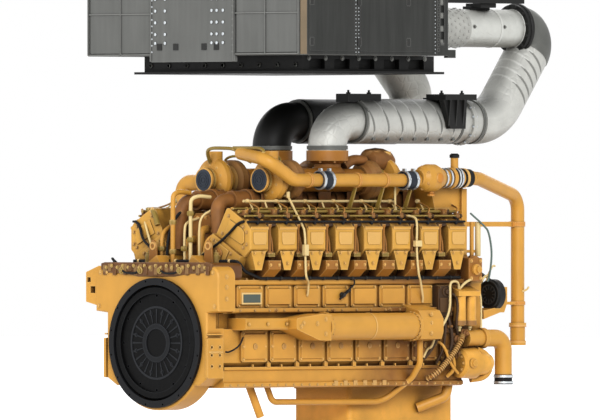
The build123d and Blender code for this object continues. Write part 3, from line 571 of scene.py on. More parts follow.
# The crankcase enamel has painted shade in patches towards the front.
YELLOW_SHADED_FRONT = make_yellow(
    "yellow enamel, painted shade at the front", colour(221, 161, 66), clouds=0.24, shaded_front=colour(140, 90, 32)
)
# A dark brown copy of the yellow enamel.
YELLOW_DARK_BROWN = make_yellow(
    "yellow enamel, dark brown", colour(108, 66, 25), 0.97, 0.5, 0.2, edges=0.2
)
OLIVE = make_yellow("olive enamel", colour(150, 124, 52), 0.9, 0.3)
BLACK = painted(
    "black enamel", colour(17, 17, 16), colour(6, 6, 6), colour(66, 66, 64),
    roughness=0.5, specular=0.25, corners=0.7, edges=0.45, clouds=0.35,
)
FLANGE_BLACK = painted(
    "blue-black flange", colour(13, 14, 17), colour(4, 4, 5), colour(34, 36, 40),
    roughness=0.5, specular=0.2, corners=0.7, edges=0.3, clouds=0.35,
)
DARK_GREEN = painted(
    "dark green enamel", colour(38, 54, 46), colour(10, 14, 12), colour(120, 130, 120), roughness=0.4
)
BROWN = brushed(
    "heat-stained iron", colour(142, 92, 40), colour(44, 24, 8), colour(196, 150, 86), 0.6, 0.15,
    corners=0.9, edges=0.4, clouds=0.6, scale=9.0,
)
# Dark brown iron; the dark blocks between the rocker covers use it as painted shade.
DARK_BROWN = painted(
    "dark brown iron", colour(62, 40, 18), colour(20, 12, 6), colour(130, 92, 48),
    roughness=0.6, corners=0.8, clouds=0.5, scale=9.0,
)
RUBBER = painted(
    "black rubber", colour(18, 18, 19), colour(6, 6, 6), colour(46, 46, 46),
    roughness=0.66, specular=0.25, grain=0.3, corners=0.6, edges=0.3,
)
DARK_BLUE = painted(
    "dark rubber, dusted", colour(36, 42, 52), colour(10, 11, 14), colour(80, 88, 100),
    roughness=0.5, specular=0.25, grain=0.3, corners=0.5, edges=0.3,
)
GREEN_CABLE = painted(
    "grey-green cable", colour(96, 116, 110), colour(30, 36, 34), colour(150, 164, 158), roughness=0.5
)
FLYWHEEL_STEEL = make_flywheel_finish()
# The second colour of each lagging finish is its painted top shade, also used for its stains.
LAGGING = make_lagging_finish("silver lagging", colour(202, 202, 196), colour(92, 93, 90), 0.95)
PLATED = brushed(
    "zinc-plated steel", colour(196, 202, 206), colour(60, 60, 58), colour(235, 238, 240), 0.32, 0.8,
    clouds=0.2, scale=20.0,
)
DULL_STEEL = brushed(
    "dull steel", colour(96, 97, 93), colour(26, 26, 24), colour(176, 176, 170), 0.5, 0.4,
    clouds=0.35, scale=7.0,
)
WHITE_PIPE = make_lagging_finish("pale pipe steel", colour(210, 211, 205), colour(150, 150, 144), 0.6)
STAINED_SLEEVE = painted(
    "stained sleeve", colour(148, 148, 142), colour(40, 38, 34), colour(212, 212, 206),
    roughness=0.5, corners=0.9, edges=0.5, clouds=0.7, scale=14.0,
)
REAR_GREY = make_module_panel("grey sheet", colour(106, 107, 104), 0.16)
PRIMER_BROWN = painted(
    "primer brown", colour(104, 88, 70), colour(34, 26, 20), colour(170, 150, 120),
    roughness=0.6, clouds=0.5,
)
SIDE_GREY = make_module_panel("dark grey sheet", colour(46, 47, 45), 0.06)

# The finishes of each slot, the first of them being what most of its solids have
FINISHES = {
    "engine_paint": (YELLOW, YELLOW_TOP, YELLOW_HEADS, ORANGE, OLIVE, YELLOW_DARK_BROWN),
    "pale_paint": (PALE,),
    "black_paint": (BLACK, DARK_GREEN),
    "dark_steel": (FLYWHEEL_STEEL,),
    "shield_brown": (BROWN,),
    "black_rubber": (RUBBER, DARK_BLUE, DARK_BROWN, GREEN_CABLE),
    "lagged_steel": (LAGGING, PLATED),
    "dull_steel": (DULL_STEEL,),
    "white_steel": (WHITE_PIPE, STAINED_SLEEVE),
    "grey_paint": (REAR_GREY, PRIMER_BROWN),
    "dark_grey_paint": (SIDE_GREY,),
}
SLOT_OF = {finish.name: slot for slot, finishes in FINISHES.items() for finish in finishes}
SPECIAL_FINISH = {
    "crankcase_covers": YELLOW_SHADED_FRONT,
    "cylinder_block": YELLOW_SHADED_FRONT,
    "oil_pan": YELLOW_SHADED_FRONT,
    "coupling_ring": FLANGE_BLACK,
    "oil_sump": STAINED_PAN,
    "fuel_filters": STAINED_PAN,
    "water_pump": STAINED_PAN,
    "lifter_covers": YELLOW_TOP,
    "exhaust_collectors": YELLOW_TOP,
    "aftercooler_housing": YELLOW_TOP,
    "rear_gear_housing": YELLOW_DARK_BROWN,
    "rocker_covers": YELLOW_HEADS,
    "cylinder_heads": YELLOW_HEADS,
}


def finish_solids():
    """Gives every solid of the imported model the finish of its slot, or its own."""
    slot_of = {part["node"]: part["material_slot"] for part in frame["record"]["subparts"]}
    for name, solid in frame["nodes"].items():
        finish = SPECIAL_FINISH.get(name, FINISHES[slot_of[name]][0])
        if not solid.data.materials:
            solid.data.materials.append(finish)
        for k in range(len(solid.material_slots)):
            solid.material_slots[k].material = finish


# Flywheel end


def build_flywheel_face():
    """Bolts, raised rings and rays on the flywheel."""
    bolts, rings, rays = shapes(3)
    bolts.bolt_circle((26, 0, 0), BACK, 205, 12, 10, 9, turn=math.pi / 12)
    rings.ring((24.5, 0, 0), BACK, 236, 250, 5, 64)
    rings.ring((24.5, 0, 0), BACK, 96, 132, 9, 48)
    for k in range(24):
        rays.ray((26, 0, 0), 2 * math.pi * k / 24, (136, 3), (232, 6), 3)
    piece("flywheel_bolts", bolts, FLYWHEEL_STEEL, "crank")
    piece("flywheel_face_rings", rings, FLYWHEEL_STEEL, "crank")
    piece("flywheel_face_ribs", rays, FLYWHEEL_STEEL, "crank", bevel=0.8)


def build_housing_trim():
    """Bolts, ribs, hoses and a dark brown flange on the flywheel housing."""
    bolts, ribs = shapes(2)
    for side in (-1, 1):
        bolts.bolts(105, side * 595, (300, 380, 450), (0, side, 0), 11, 9)
        bolts.bolts(26, (side * 480, side * 545), 478, BACK, 11, 9)
        bolts.bolt((26, side * 560, 250), BACK, 11, 9)
        for x, y, z in crossings((53, 130), side * 505, (-27, -81, -156)):
            bolts.ring((x, y, z), (0, side, 0), 9.5, 15, 3, 16)
        for z in (-60, 60):
            ribs.block((26, 163), sorted((side * 484, side * 507)), (z - 5, z + 5))
    piece("housing_bolts_heads", bolts, YELLOW)
    piece("housing_side_ribs", ribs, YELLOW, bevel=2)
    flange = Shape()
    outline = [(535, 500), (490, 478), (300, 470), (180, 452)]
    crest = [(535, 540), (500, 548)]
    places = [(-y, z) for y, z in outline] + outline[::-1] + crest + [(-y, z) for y, z in crest[::-1]]
    flange.slab([(0, y, z) for y, z in places], (18, 0, 0), (20, 0, 0))
    for k, y in enumerate(range(-500, 501, 50)):
        low, high = (462, 486)[k % 2], (520, 536, 528)[k % 3]
        flange.block((10 + 3 * (k % 3), 24), (y - 17, y + 15), (low, high))
    piece("gear_cover_flange", flange, YELLOW_DARK_BROWN, bevel=4)
    fixings, hoses, ties = shapes(3)
    for k in range(19):
        fixings.bolt((14, -477 + 53 * k, 512 + 12 * (k % 2)), BACK, 9, 9)
    for y in (-230, -40, 150, 330):
        fixings.turned((20, y, 492), BACK, [(0, 24), (8, 24), (10, 16), (19, 15)], 16)
    piece("gear_cover_fixings", fixings, OLIVE)
    hoses.pipe([(11, -216, 492), (9, -200, 474), (9, -90, 472), (11, -54, 492)], 7)
    hoses.pipe([(11, 164, 492), (9, 180, 474), (9, 290, 474), (11, 316, 492)], 7)
    hoses.pipe([(46, 430, 545), (40, 440, 572), (90, 500, 572), (150, 520, 545)], 9)
    piece("gear_cover_hoses", hoses, RUBBER)
    for y in (-430, -200, 90, 330, 450):
        ties.ring((300, y, 555), LEFT, 11, 15, 16, 12)
    piece("rear_harness_ties", ties, PALE)


# Crankcase


def build_crankcase_trim():
    """Bolts round the doors, lugs along the pan rail, clips and the blank plate."""
    bolts, lugs, pan_bolts = shapes(3)
    for x in CYLINDERS:
        bolts.bolts((x - 68, x + 140), -SIDE_Y - 18, (-112, -24, 64), RIGHT, 8, 8)
        bolts.bolts((x - 110, x + 98), -SIDE_Y - 16, (252, 376), RIGHT, 8, 8)
        lugs.block((x + 160, x + 190), (-496, -474), (-163, -136))
        lugs.bolt((x + 175, -482, -136), UP, 10, 10)
        lugs.block((x + 20, x + 30), (-494, -476), (-163, -146))
    pan_bolts.bolts(range(245, 2450, 76), -490, -288, RIGHT, 7, 6)
    for x in range(1240, 1711, 94):
        pan_bolts.block((x, x + 36), (-493, -488), (-296, -262))
    piece("door_bolts", bolts.mirrored(), YELLOW)
    piece("pan_rail_lugs", lugs.mirrored(), YELLOW, bevel=2)
    piece("pan_flange_bolts", pan_bolts.mirrored(), YELLOW_TOP)
    plate, inner, clips = shapes(3)
    plate.block((338, 528), (-507, -502), (262, 342))
    inner.block((352, 514), (-510, -506), (274, 330))
    for x in range(560, 2440, 137):
        clips.ring((x, -518, 439), AHEAD, 10, 15, 12, 12)
    piece("blank_plate_frame", plate, PALE, bevel=1)
    piece("blank_plate", inner, DARK_GREEN, bevel=1)
    piece("harness_clips", clips, BLACK)


def build_flange_studs():
    """Studs and nuts on the flange below the heads."""
    nuts = Shape()
    nuts.bolts(range(262, 2441, 66), -493, 428, UP, 9, 12)
    piece("head_flange_nuts", nuts.mirrored(), YELLOW_TOP)


# Cylinder heads and covers


def build_cover_trim():
    """Bolts, face panels, a wiring rail and its feet on every rocker cover."""
    up = Vector((0, -0.5, 0.866))
    bolts, panels, caps, rail = shapes(4)
    rail.pipe([(345, -556, 824), (2448, -556, 824)], 8)
    for x in CYLINDERS:
        for y in (530, 385):
            bolts.bolts((x - 68, x + 68), -y, 817 + (545 - y) * 0.577, up, 10, 12)
        caps.turned((x, -450, 869), up, [(0, 30), (9, 30), (14, 22), (34, 20), (38, 14)], 18)
        outline = [(x + dx, 0, z) for dx, z in both_halves([(52, 668), (62, 690), (62, 752)])]
        panels.slab(outline, (0, -COVER_FACE_Y, 0), (0, -5, 0))
        panels.block((x - 84, x + 84), (-586, -578), (770, 790))
        rail.block((x - 8, x + 8), (-566, -540), (806, 826))
        rail.pipe([(x + 30, -556, 824), (x + 24, -540, 850), (x + 6, -470, 872)], 5, 8)
    piece("cover_bolts", bolts.mirrored(), YELLOW)
    piece("cover_caps", caps.mirrored(), YELLOW_TOP)
    piece("cover_face_panels", panels.mirrored(), YELLOW, bevel=3)
    piece("injector_wiring_rail", rail.mirrored(), RUBBER)


def build_head_trim():
    """Water jumpers between heads, and port studs."""
    jumpers, studs = shapes(2)
    sleeve = [(0, 26), (12, 26), (12, 20), (88, 20), (88, 26), (100, 26)]
    for middle in GAPS:
        jumpers.turned((middle - 50, -330, 700), AHEAD, sleeve, 16)
        jumpers.block((middle - 30, middle + 30), (-560, -480), (585, 612))
        studs.bolts((middle - 40, middle + 40), -590, 530, RIGHT, 8, 8)
    for x in CYLINDERS:
        studs.bolts((x - 40, x + 40), -573, 612, RIGHT, 9, 10)
        studs.bolt((x, -573, 540), RIGHT, 8, 10)
    piece("head_water_jumpers", jumpers.mirrored(), OLIVE)
    piece("port_studs", studs.mirrored(), YELLOW)


def build_fuel_lines():
    """Tees on the fuel rail, a feed to every cover and the two long drops to the crankcase."""
    tees, feeds, drops, clamps = shapes(4)
    for x in CYLINDERS[:7]:
        tees.turned((x + 96, -352, 963), AHEAD, [(0, 12), (4, 15), (24, 15), (28, 12)], 8)
        feed = [(x + 110, -352, 963), (x + 110, -380, 950), (x + 96, -420, 905), (x + 60, -440, 884)]
        feeds.pipe(feed, 6, 8)
    piece("fuel_rail_tees", tees.mirrored(), PALE)
    piece("fuel_feeds", feeds.mirrored(), PALE)
    rear_drop = [
        (887, -352, 1000), (887, -400, 1000), (875, -475, 905), (862, -560, 800), (850, -602, 755),
        (850, -604, 475), (880, -590, 430), (940, -545, 410), (965, -512, 330), (965, -505, 318),
    ]
    front_drop = [
        (1908, -416, 1080), (1908, -416, 890), (1915, -470, 866), (1945, -570, 858), (1934, -604, 820),
        (1926, -604, 640), (1945, -604, 470), (2010, -560, 420), (2080, -515, 300), (2084, -506, 270),
    ]
    drops.pipe(rear_drop, 8)
    drops.pipe(front_drop, 8)
    piece("fuel_drops", drops, PALE)
    clamps.block((832, 868), (-622, -590), (592, 668))
    clamps.block((1906, 1966), (-622, -590), (652, 694))
    clamps.turned((887, -400, 985), UP, [(0, 14), (44, 14)], 8)
    piece("fuel_drop_clamps", clamps, PALE, bevel=3)


# Between and over the banks


def on_bank(side, distance, outward):
    """A place across one bank, as (y, z), from its distance along the cylinder axis."""
    sine, cosine = math.sin(math.radians(30)), math.cos(math.radians(30))
    return side * (distance * sine + outward * cosine), distance * cosine - outward * sine


def build_bank_ends():
    """Raised panels, bolts and a plug on the end faces of the first and last heads."""
    panels, bolts = shapes(2)
    outline = [(300, 745), (366, 872), (520, 792), (552, 752), (552, 664), (520, 640)]
    middle_y, middle_z = 455, 745

    def shrunk(share):
        return [(-(middle_y + (y - middle_y) * share), middle_z + (z - middle_z) * share) for y, z in outline]

    for x, way in ((345, -1), (2448, 1)):
        panels.slab([(0, y, z) for y, z in shrunk(0.74)], (x, 0, 0), (way * 8, 0, 0))
        for y, z in shrunk(0.93):
            bolts.bolt((x, y, z), (way, 0, 0), 9, 9)
    for x, way in ((318, -1), (2475, 1)):
        corners = [on_bank(-1, d, o) for d, o in ((622, -112), (622, 40), (745, 40), (745, -112))]
        panels.slab([(0, y, z) for y, z in corners], (x, 0, 0), (way * 7, 0, 0))
        rim = [(632, -128), (632, 60), (735, -128), (735, 60), (684, -128), (684, 60), (640, 130), (720, 130)]
        for distance, outward in rim:
            bolts.bolt((x, *on_bank(-1, distance, outward)), (way, 0, 0), 9, 9)
        plug = (x + way * 6, *on_bank(-1, 684, -36))
        bolts.turned(plug, (way, 0, 0), [(0, 36), (8, 36), (12, 26), (20, 24)], 20)
    piece("bank_end_panels", panels.mirrored(), YELLOW_HEADS, bevel=3)
    piece("bank_end_bolts", bolts.mirrored(), YELLOW_TOP)


def build_rear_valley():
    """Pipes, a bolted end cover and lifting brackets between the banks at the rear."""
    plates, bolts = shapes(2)
    cover = both_halves([(100, 500), (118, 640), (118, 820), (70, 868)])
    plates.slab([(0, y, z) for y, z in cover], (470, 0, 0), (-14, 0, 0))
    bolts.bolts(456, (-104, 104), (640, 700, 760, 820), BACK, 9, 9)
    bolts.bolts(456, (-40, 40), 850, BACK, 9, 9)
    bolts.bolts(456, (-60, 60), 520, BACK, 9, 9)
    low, high = 545, 700
    for y in (-268, 268):
        eye = both_halves([(44, low), (30, high - 30), (10, high)])
        plates.slab([(0, y + dy, z) for dy, z in eye], (250, 0, 0), (16, 0, 0))
        bolts.ring((258, y, high - 42), AHEAD, 17, 27, 22, 20)
    piece("valley_plates", plates, YELLOW_TOP, bevel=3)
    piece("valley_bolts", bolts, ORANGE)
    tall, pale, dark, fittings, breather = shapes(5)
    for points, radius in (
        ([(296, 118, low), (296, 118, 960), (300, 118, 1010), (360, 118, 1030), (470, 130, 1020)], 17),
        ([(300, 232, low), (300, 232, 700), (330, 240, 760), (420, 250, 800)], 14),
        ([(380, -70, 456), (380, -70, 640), (380, -64, 740), (410, -60, 770), (470, -60, 772)], 28),
        ([(380, 62, 456), (380, 62, 600), (384, 60, 680), (410, 58, 700), (470, 58, 702)], 28),
        ([(330, -160, low), (330, -160, 660), (350, -190, 720), (430, -210, 735)], 16),
    ):
        tall.pipe(points, radius, 14 if radius == 28 else 12)
    piece("valley_pipes", tall, YELLOW)
    pale.pipe([(304, -45, low), (304, -45, 930), (306, -50, 980), (360, -70, 1000), (450, -90, 990)], 13, 12)
    pale.pipe([(310, 20, low), (310, 20, 770), (330, 24, 820), (470, 30, 850)], 9)
    pale.pipe([(326, -110, low), (320, -110, 760), (330, -118, 860), (420, -140, 905)], 8)
    pale.pipe([(300, 330, low), (318, 340, 640), (322, 380, 720), (332, 420, 800), (345, 440, 820)], 8)
    piece("valley_pale_tubes", pale, PALE)
    for points, radius in (
        (
            [(336, -528, 826), (334, -470, 812), (326, -400, 748), (312, -330, 690)]
            + [(306, -240, 640), (306, -160, 600), (300, -140, 556)],
            9,
        ),
        ([(336, 528, 826), (334, 480, 800), (312, 430, 700), (306, 330, 640), (300, 300, 556)], 9),
        ([(440, 150, 900), (380, 150, 880), (330, 170, 790), (300, 180, 660), (300, 176, 550)], 10),
    ):
        dark.pipe(points, radius)
    piece("valley_hoses", dark, RUBBER)
    for x, y, z in (
        (296, 118, 620), (296, 118, 820), (304, -45, 700), (304, -45, 880),
        (310, 20, 640), (330, -160, 600), (300, 232, 640),
    ):
        fittings.turned((x, y, z - 16), UP, [(0, 22), (6, 26), (26, 26), (32, 22)], 6)
    for y in (-300, 345):
        post = [(0, 34), (50, 34), (56, 28), (70, 28), (70, 12), (84, 12)]
        fittings.turned((300, y, low), UP, post, 16)
    piece("valley_fittings", fittings, OLIVE, bevel=1)
    breather.turned((400, 420, 850), UP, [(0, 40), (40, 40), (44, 48), (66, 48), (72, 40)], 24)
    breather.pipe([(400, 420, 880), (370, 400, 910), (340, 340, 880), (330, 300, 800)], 18, 12)
    piece("breather", breather, OLIVE)


def build_roof_rails():
    """Rails, connector boxes and tubes over and between the rocker covers, and dark blocks between the covers
    as painted shade.
    """
    rails, boxes, tubes, darks = shapes(4)
    rails.pipe([(345, -468, 892), (2448, -468, 892)], 11, 12)
    rails.pipe([(360, -512, 862), (2440, -512, 862)], 8)
    rails.pipe([(350, -410, 912), (2440, -410, 912)], 7)
    for k, x in enumerate(CYLINDERS):
        boxes.block((x - 66, x - 26), (-500, -448), (862, 902 + 8 * (k % 2)))
        boxes.block((x + 44, x + 74), (-524, -486), (846, 884))
        tubes.turned((x - 46, -490, 884), (0, -0.7, 0.7), [(0, 13), (18, 13), (24, 8), (34, 8)], 10)
        arch = [(x + 60, -505, 880), (x + 76, -500, 915), (x + 100, -440, 930), (x + 106, -372, 955)]
        tubes.pipe(arch, 6, 8)
        darks.ring((x, -468, 892), AHEAD, 11, 19, 26, 14)
        darks.ring((x + 90, -512, 862), AHEAD, 8, 15, 18, 12)
    spacer = [(0, 20), (14, 20), (18, 13), (176, 13), (182, 18), (200, 18)]
    for x in GAPS:
        tubes.turned((x - 14, -548, 606), UP, spacer, 12)
        tubes.pipe([(x + 24, -540, 606), (x + 24, -536, 700), (x + 10, -500, 800), (x, -440, 866)], 9)
        # Painted shade: dark blocks in the gaps between the rocker covers.
        darks.block((x - 46, x + 46), (-470, -330), (700, 742))
        darks.block((x - 44, x + 44), (-556, -520), (792, 812))
    piece("roof_rails", rails.mirrored(), OLIVE)
    piece("roof_boxes", boxes.mirrored(), BROWN, bevel=4)
    piece("roof_tubes", tubes.mirrored(), YELLOW_TOP)
    piece("roof_dark_blocks", darks.mirrored(), DARK_BROWN, bevel=3)


def build_small_controls():
    """A dark valve with its lever, plugs and a sensor cable on the crankcase's right side."""
    valve, plugs, cable = shapes(3)
    valve.turned((1300, -500, 322), RIGHT, [(0, 20), (16, 20), (20, 13), (34, 13)], 12)
    valve.pipe([(1262, -526, 296), (1346, -530, 352)], 8, 8)
    valve.turned((1346, -530, 352), (0, -1, 0.4), [(-12, 10), (0, 14), (10, 10)], 10)
    piece("drain_valve", valve, BLACK)
    for x in (640, 1190, 1740, 2290):
        plugs.turned((x, -530, 220), RIGHT, [(-6, 15), (4, 15), (8, 10), (16, 10)], 6)
    plugs.bolts(range(300, 2401, 140), -530, 220, RIGHT, 7, 7)
    for x in CYLINDERS:
        plugs.turned((x + 36, -503, -24), RIGHT, [(0, 20), (4, 20), (6, 14)], 20)
    piece("ledge_plugs", plugs.mirrored(), YELLOW_TOP)
    cable.pipe([(1400, -520, 439), (1404, -530, 400), (1380, -512, 372), (1312, -524, 340)], 5, 8)
    piece("sensor_lead", cable, RUBBER)


# Turbochargers and air


def build_turbo_trim():
    """Dark inlet caps, clamp bands, heat shields and oil pipes on the four turbochargers."""
    caps, bands, shields, pipes, bolts = shapes(5)
    y, z = -TURBO_Y, TURBO_Z
    shield = [(0, 100), (4, 118), (22, 138), (72, 138), (90, 112), (130, 98)]
    for end in (-1, 1):
        lip, way = MIDDLE_X + end * TURBO_LIP, (-end, 0, 0)
        caps.turned((lip + end * 4, y, z), way, [(0, 58), (3, 74), (26, 78), (26, 60)], 32)
        for radius in (20, 38, 54):
            caps.ring((lip + end * 5, y, z), way, radius - 3, radius, 6, 24)
        bands.ring((lip - end * 34, y, z), way, 76, 84, 14)
        band_x = lip - end * 190
        bands.ring((band_x, y, z), way, 80, 92, 18)
        bands.block((band_x - 9, band_x + 9), (y - 20, y + 20), (z + 88, z + 108))
        shields.turned((lip - end * 230, y, z), way, shield, 32)
        bolts.bolt_circle((lip - end * 70, y, z), (end, 0, 0), 102, 10, 7, 8)
        feed = [(205, 0, 78), (205, 0, 150), (240, 90, 170), (260, 200, 120)]
        drain = [(200, 0, -76), (200, 10, -170), (220, 60, -230)]
        for points, radius in ((feed, 9), (drain, 16)):
            pipes.pipe([(lip - end * dx, y + dy, z + dz) for dx, dy, dz in points], radius)
    piece("turbo_inlet_caps", caps.mirrored(), DARK_BLUE)
    piece("turbo_clamp_bands", bands.mirrored(), OLIVE)
    piece("turbo_heat_shields", shields.mirrored(), BROWN)
    piece("turbo_oil_pipes", pipes.mirrored(), OLIVE)
    piece("turbo_bolts", bolts.mirrored(), YELLOW)


def build_exhaust_trim():
    """Shields over the manifolds and the collector flanges, with their bolts."""
    shields, bolts, housing = shapes(3)
    for x in CYLINDERS[1:7]:
        shields.ring((x + 6, -165, 968), AHEAD, 66, 80, 34, 20)
        shields.block((x + 70, x + 200), (-246, -150), (1030, 1044))
        shields.block((x + 76, x + 194), (-250, -240), (900, 1036))
    for k in range(8):
        angle = 2 * math.pi * (k + 0.5) / 8
        place = (MIDDLE_X + 128 * math.cos(angle), -TURBO_Y + 128 * math.sin(angle), 1240)
        bolts.turned(place, UP, [(-14, 9), (0, 9), (0, 5), (12, 5)], 6)
    piece("manifold_shields", shields.mirrored(), BROWN, bevel=3)
    piece("collector_flange_bolts", bolts.mirrored(), BROWN)
    bell = [(0, 50), (20, 84), (90, 92), (150, 88), (210, 70), (250, 40)]
    housing.turned((1790, -250, 1238), AHEAD, bell, 28)
    housing.turned((1850, -250, 1180), UP, [(0, 46), (90, 46), (100, 60), (130, 60)], 20)
    housing.pipe([(1760, -262, 1240), (1640, -262, 1250), (1560, -262, 1200)], 36, 16)
    piece("front_exhaust_shield", housing, BROWN)


def build_header_trim():
    """Hose couplings with bright clamps, rings, vent pipe and hooks on the coolant header."""
    hoses, clamps, rings, brackets, vent = shapes(5)
    y, z = -HEADER_Y, HEADER_Z
    coupling = [(0, 50), (6, 58), (40, 60), (62, 64), (84, 60), (112, 58), (118, 50)]
    for x in (1095, 1911):
        hoses.turned((x + 8, y, z), AHEAD, coupling, 32)
        for clamp_x in (x + 16, x + 100):
            clamps.ring((clamp_x, y, z), AHEAD, 58, 67, 20)
            clamps.block((clamp_x - 8, clamp_x + 8), (y - 22, y + 6), (z + 62, z + 80))
            clamps.bolt((clamp_x, y - 66, z + 8), RIGHT, 6, 8)
    for x in (1000, 1469, 1738):
        rings.ring((x, y, z), AHEAD, 44, 52, 24, 28)
    for x in (1469, 1738, 2010):
        outline = [(0, y - 6, z - 40), (0, y + 20, z - 40), (0, -386, 905), (0, -420, 890)]
        brackets.slab(outline, (x - 5, 0, 0), (10, 0, 0))
    right_end = [(716, -110, 1290), (700, -60, 1322), (704, 60, 1326), (712, 176, 1326)]
    vent.pipe(right_end + [(730, 230, 1300), (792, 262, 1230)], 12, 12)
    vent.pipe([(620, -420, 1262), (640, -420, 1322), (690, -200, 1326), (700, -60, 1326)], 12, 12)
    piece("header_hoses", hoses, DARK_BLUE)
    piece("header_hose_clamps", clamps, PLATED, bevel=1)
    piece("header_rings", rings, ORANGE, bevel=2)
    piece("header_brackets", brackets, OLIVE, bevel=2)
    piece("header_vent_pipe", vent, OLIVE)


def build_thermostat_trim():
    """Clamps, a dark sleeve, a drain tab and a capped post at the front of the header."""
    clamps, sleeve, tabs = shapes(3)
    y, z = -HEADER_Y, 1123
    for x, outer in ((2300, 70), (2345, 70), (2420, 74), (2445, 74)):
        clamps.ring((x, y, z), AHEAD, 58, outer, 14, 28)
    sleeve.turned((2482, y, z), AHEAD, [(0, 54), (6, 64), (84, 62), (92, 54)], 28)
    sleeve.turned((2425, y, 1262), UP, [(0, 27), (0, 34), (20, 34), (30, 22)], 18)
    piece("thermostat_clamps", clamps, PLATED, bevel=1)
    piece("thermostat_sleeve", sleeve, RUBBER)
    tabs.turned((2195, y, 1046), DOWN, [(0, 20), (30, 20), (34, 26), (46, 26)], 6)
    tabs.bolt_circle((2106, y, z), BACK, 74, 6, 8, 9)
    tabs.turned((2190, y - 88, z), RIGHT, [(0, 34), (10, 34), (16, 26)], 20)
    piece("thermostat_fittings", tabs, ORANGE)


# Front corner


def build_return_pipe_trim():
    """Clamp saddle, sleeve bands and a hook on the coolant return pipe."""
    bands, hook = shapes(2)
    x, y = RETURN_X, -RETURN_Y
    rings = ((805, 46, 54, 34), (258, 46, 54, 26), (100, 50, 61, 14), (-8, 50, 59, 14))
    for z, inner, outer, depth in rings:
        bands.ring((x, y, z), UP, inner, outer, depth, 28)
    bands.block((x - 70, x - 44), (y - 22, y + 22), (786, 824))
    piece("return_pipe_bands", bands, ORANGE, bevel=2)
    hook.pipe([(x, y - 44, 340), (x + 20, y - 70, 350), (x + 30, y - 80, 372)], 7, 8)
    piece("return_pipe_hook", hook, PALE)


def build_filter_trim():
    """Bands, drain cocks and pipes round the filters, with the control box, valves and hoses beside them."""
    bands, cocks, pipes = shapes(3)
    for x in FILTERS_X:
        bands.ring((x, -FILTERS_Y, 126), UP, 43, 48, 32, 28)
        cocks.turned((x, -FILTERS_Y, 105), DOWN, [(0, 16), (14, 16), (18, 9), (36, 9)], 10)
    piece("filter_bands", bands, BROWN)
    piece("filter_drain_cocks", cocks, PALE)
    long_drop = [
        (2400, -FILTERS_Y, 350), (2400, -545, 400), (2350, -560, 416), (2290, -570, 405), (2288, -572, 340),
        (2288, -572, 220), (2230, -572, 120), (2160, -560, 50), (2140, -540, -40), (2132, -510, -46),
        (2100, -500, -110),
    ]
    pipes.pipe(long_drop, 9)
    pipes.pipe([(2620, -500, 346), (2612, -540, 340), (2606, -560, 280), (2606, -560, 90)], 7, 8)
    pipes.pipe([(2400, -FILTERS_Y, 350), (2440, -560, 400), (2520, -555, 430)], 9)
    piece("filter_pipes", pipes, PALE)
    box, hoses, valves, ribbed, head, detail = shapes(6)
    box.block((2196, 2330), (-550, -470), (176, 384))
    box.block((2210, 2316), (-556, -548), (200, 300))
    box.turned((2263, -548, 342), RIGHT, [(0, 30), (8, 30), (12, 18), (26, 16)], 20)
    box.bolts((2208, 2318), -550, (190, 370), RIGHT, 8, 9)
    piece("control_box", box, DARK_BROWN, bevel=5, slot="shield_brown")
    for points, radius in (
        ([(2220, -530, 186), (2226, -545, 120), (2204, -548, 40), (2150, -536, -50), (2110, -496, -120)], 11),
        ([(2262, -530, 186), (2262, -556, 130), (2250, -560, 40), (2244, -548, -60), (2230, -496, -150)], 9),
        ([(2304, -530, 186), (2312, -552, 110), (2330, -556, 0), (2306, -540, -100), (2270, -496, -170)], 12),
        (
            [(2322, -530, 330), (2362, -560, 318), (2366, -572, 230)]
            + [(2350, -566, 110), (2400, -540, 40), (2420, -496, 10)],
            9,
        ),
    ):
        hoses.pipe(points, radius)
    piece("control_hoses", hoses, DARK_BROWN)
    for x, y, z in (
        ((2420, 2486), -556, (22, 84)),
        ((2350, 2430), -534, (-30, 60)),
        ((2290, 2336), -530, (60, 150)),
        ((2380, 2440), -540, (-118, -52)),
    ):
        valves.block(x, (y, -440), z)
    for place, steps, sides in (
        ((2452, -556, 54), [(0, 26), (10, 26), (14, 17), (28, 17)], 6),
        ((2390, -534, 14), [(0, 30), (12, 30), (18, 20), (34, 18)], 16),
        ((2313, -530, 104), [(0, 18), (14, 18), (20, 10), (40, 10)], 6),
        ((2410, -540, -86), [(0, 22), (12, 22), (16, 14), (30, 14)], 6),
    ):
        valves.turned(place, RIGHT, steps, sides)
    piece("front_valves", valves, BROWN, bevel=4)
    path = [(2430, -548, 40), (2400, -572, 10), (2340, -574, -60), (2270, -570, -130)]
    path += [(2200, -560, -196), (2150, -530, -240), (2134, -496, -256)]
    ribbed.pipe(path, 15, 12)
    for start, end in zip(path[:-1], path[1:]):
        start, step = Vector(start), Vector(end) - Vector(start)
        count = round(step.length / 17)
        for k in range(count):
            ribbed.ring(start + step * ((k + 0.5) / count), step, 13, 20, 8, 14)
    piece("ribbed_hose", ribbed, YELLOW_TOP, slot="black_rubber")
    head.block((2488, 2620), (-560, -470), (412, 574))
    outline = [(2590, 0, 400), (2706, 0, 400), (2706, 0, 560), (2650, 0, 590), (2590, 0, 590)]
    head.slab(outline, (0, -476, 0), (0, 30, 0))
    piece("fuel_pump_block", head, YELLOW_TOP, bevel=8)
    detail.bolts((2510, 2598), -560, (434, 552), RIGHT, 9, 9)
    detail.turned((2554, -560, 493), RIGHT, [(0, 40), (16, 38), (24, 24), (40, 22)], 20)
    piece("fuel_pump_fittings", detail, YELLOW)


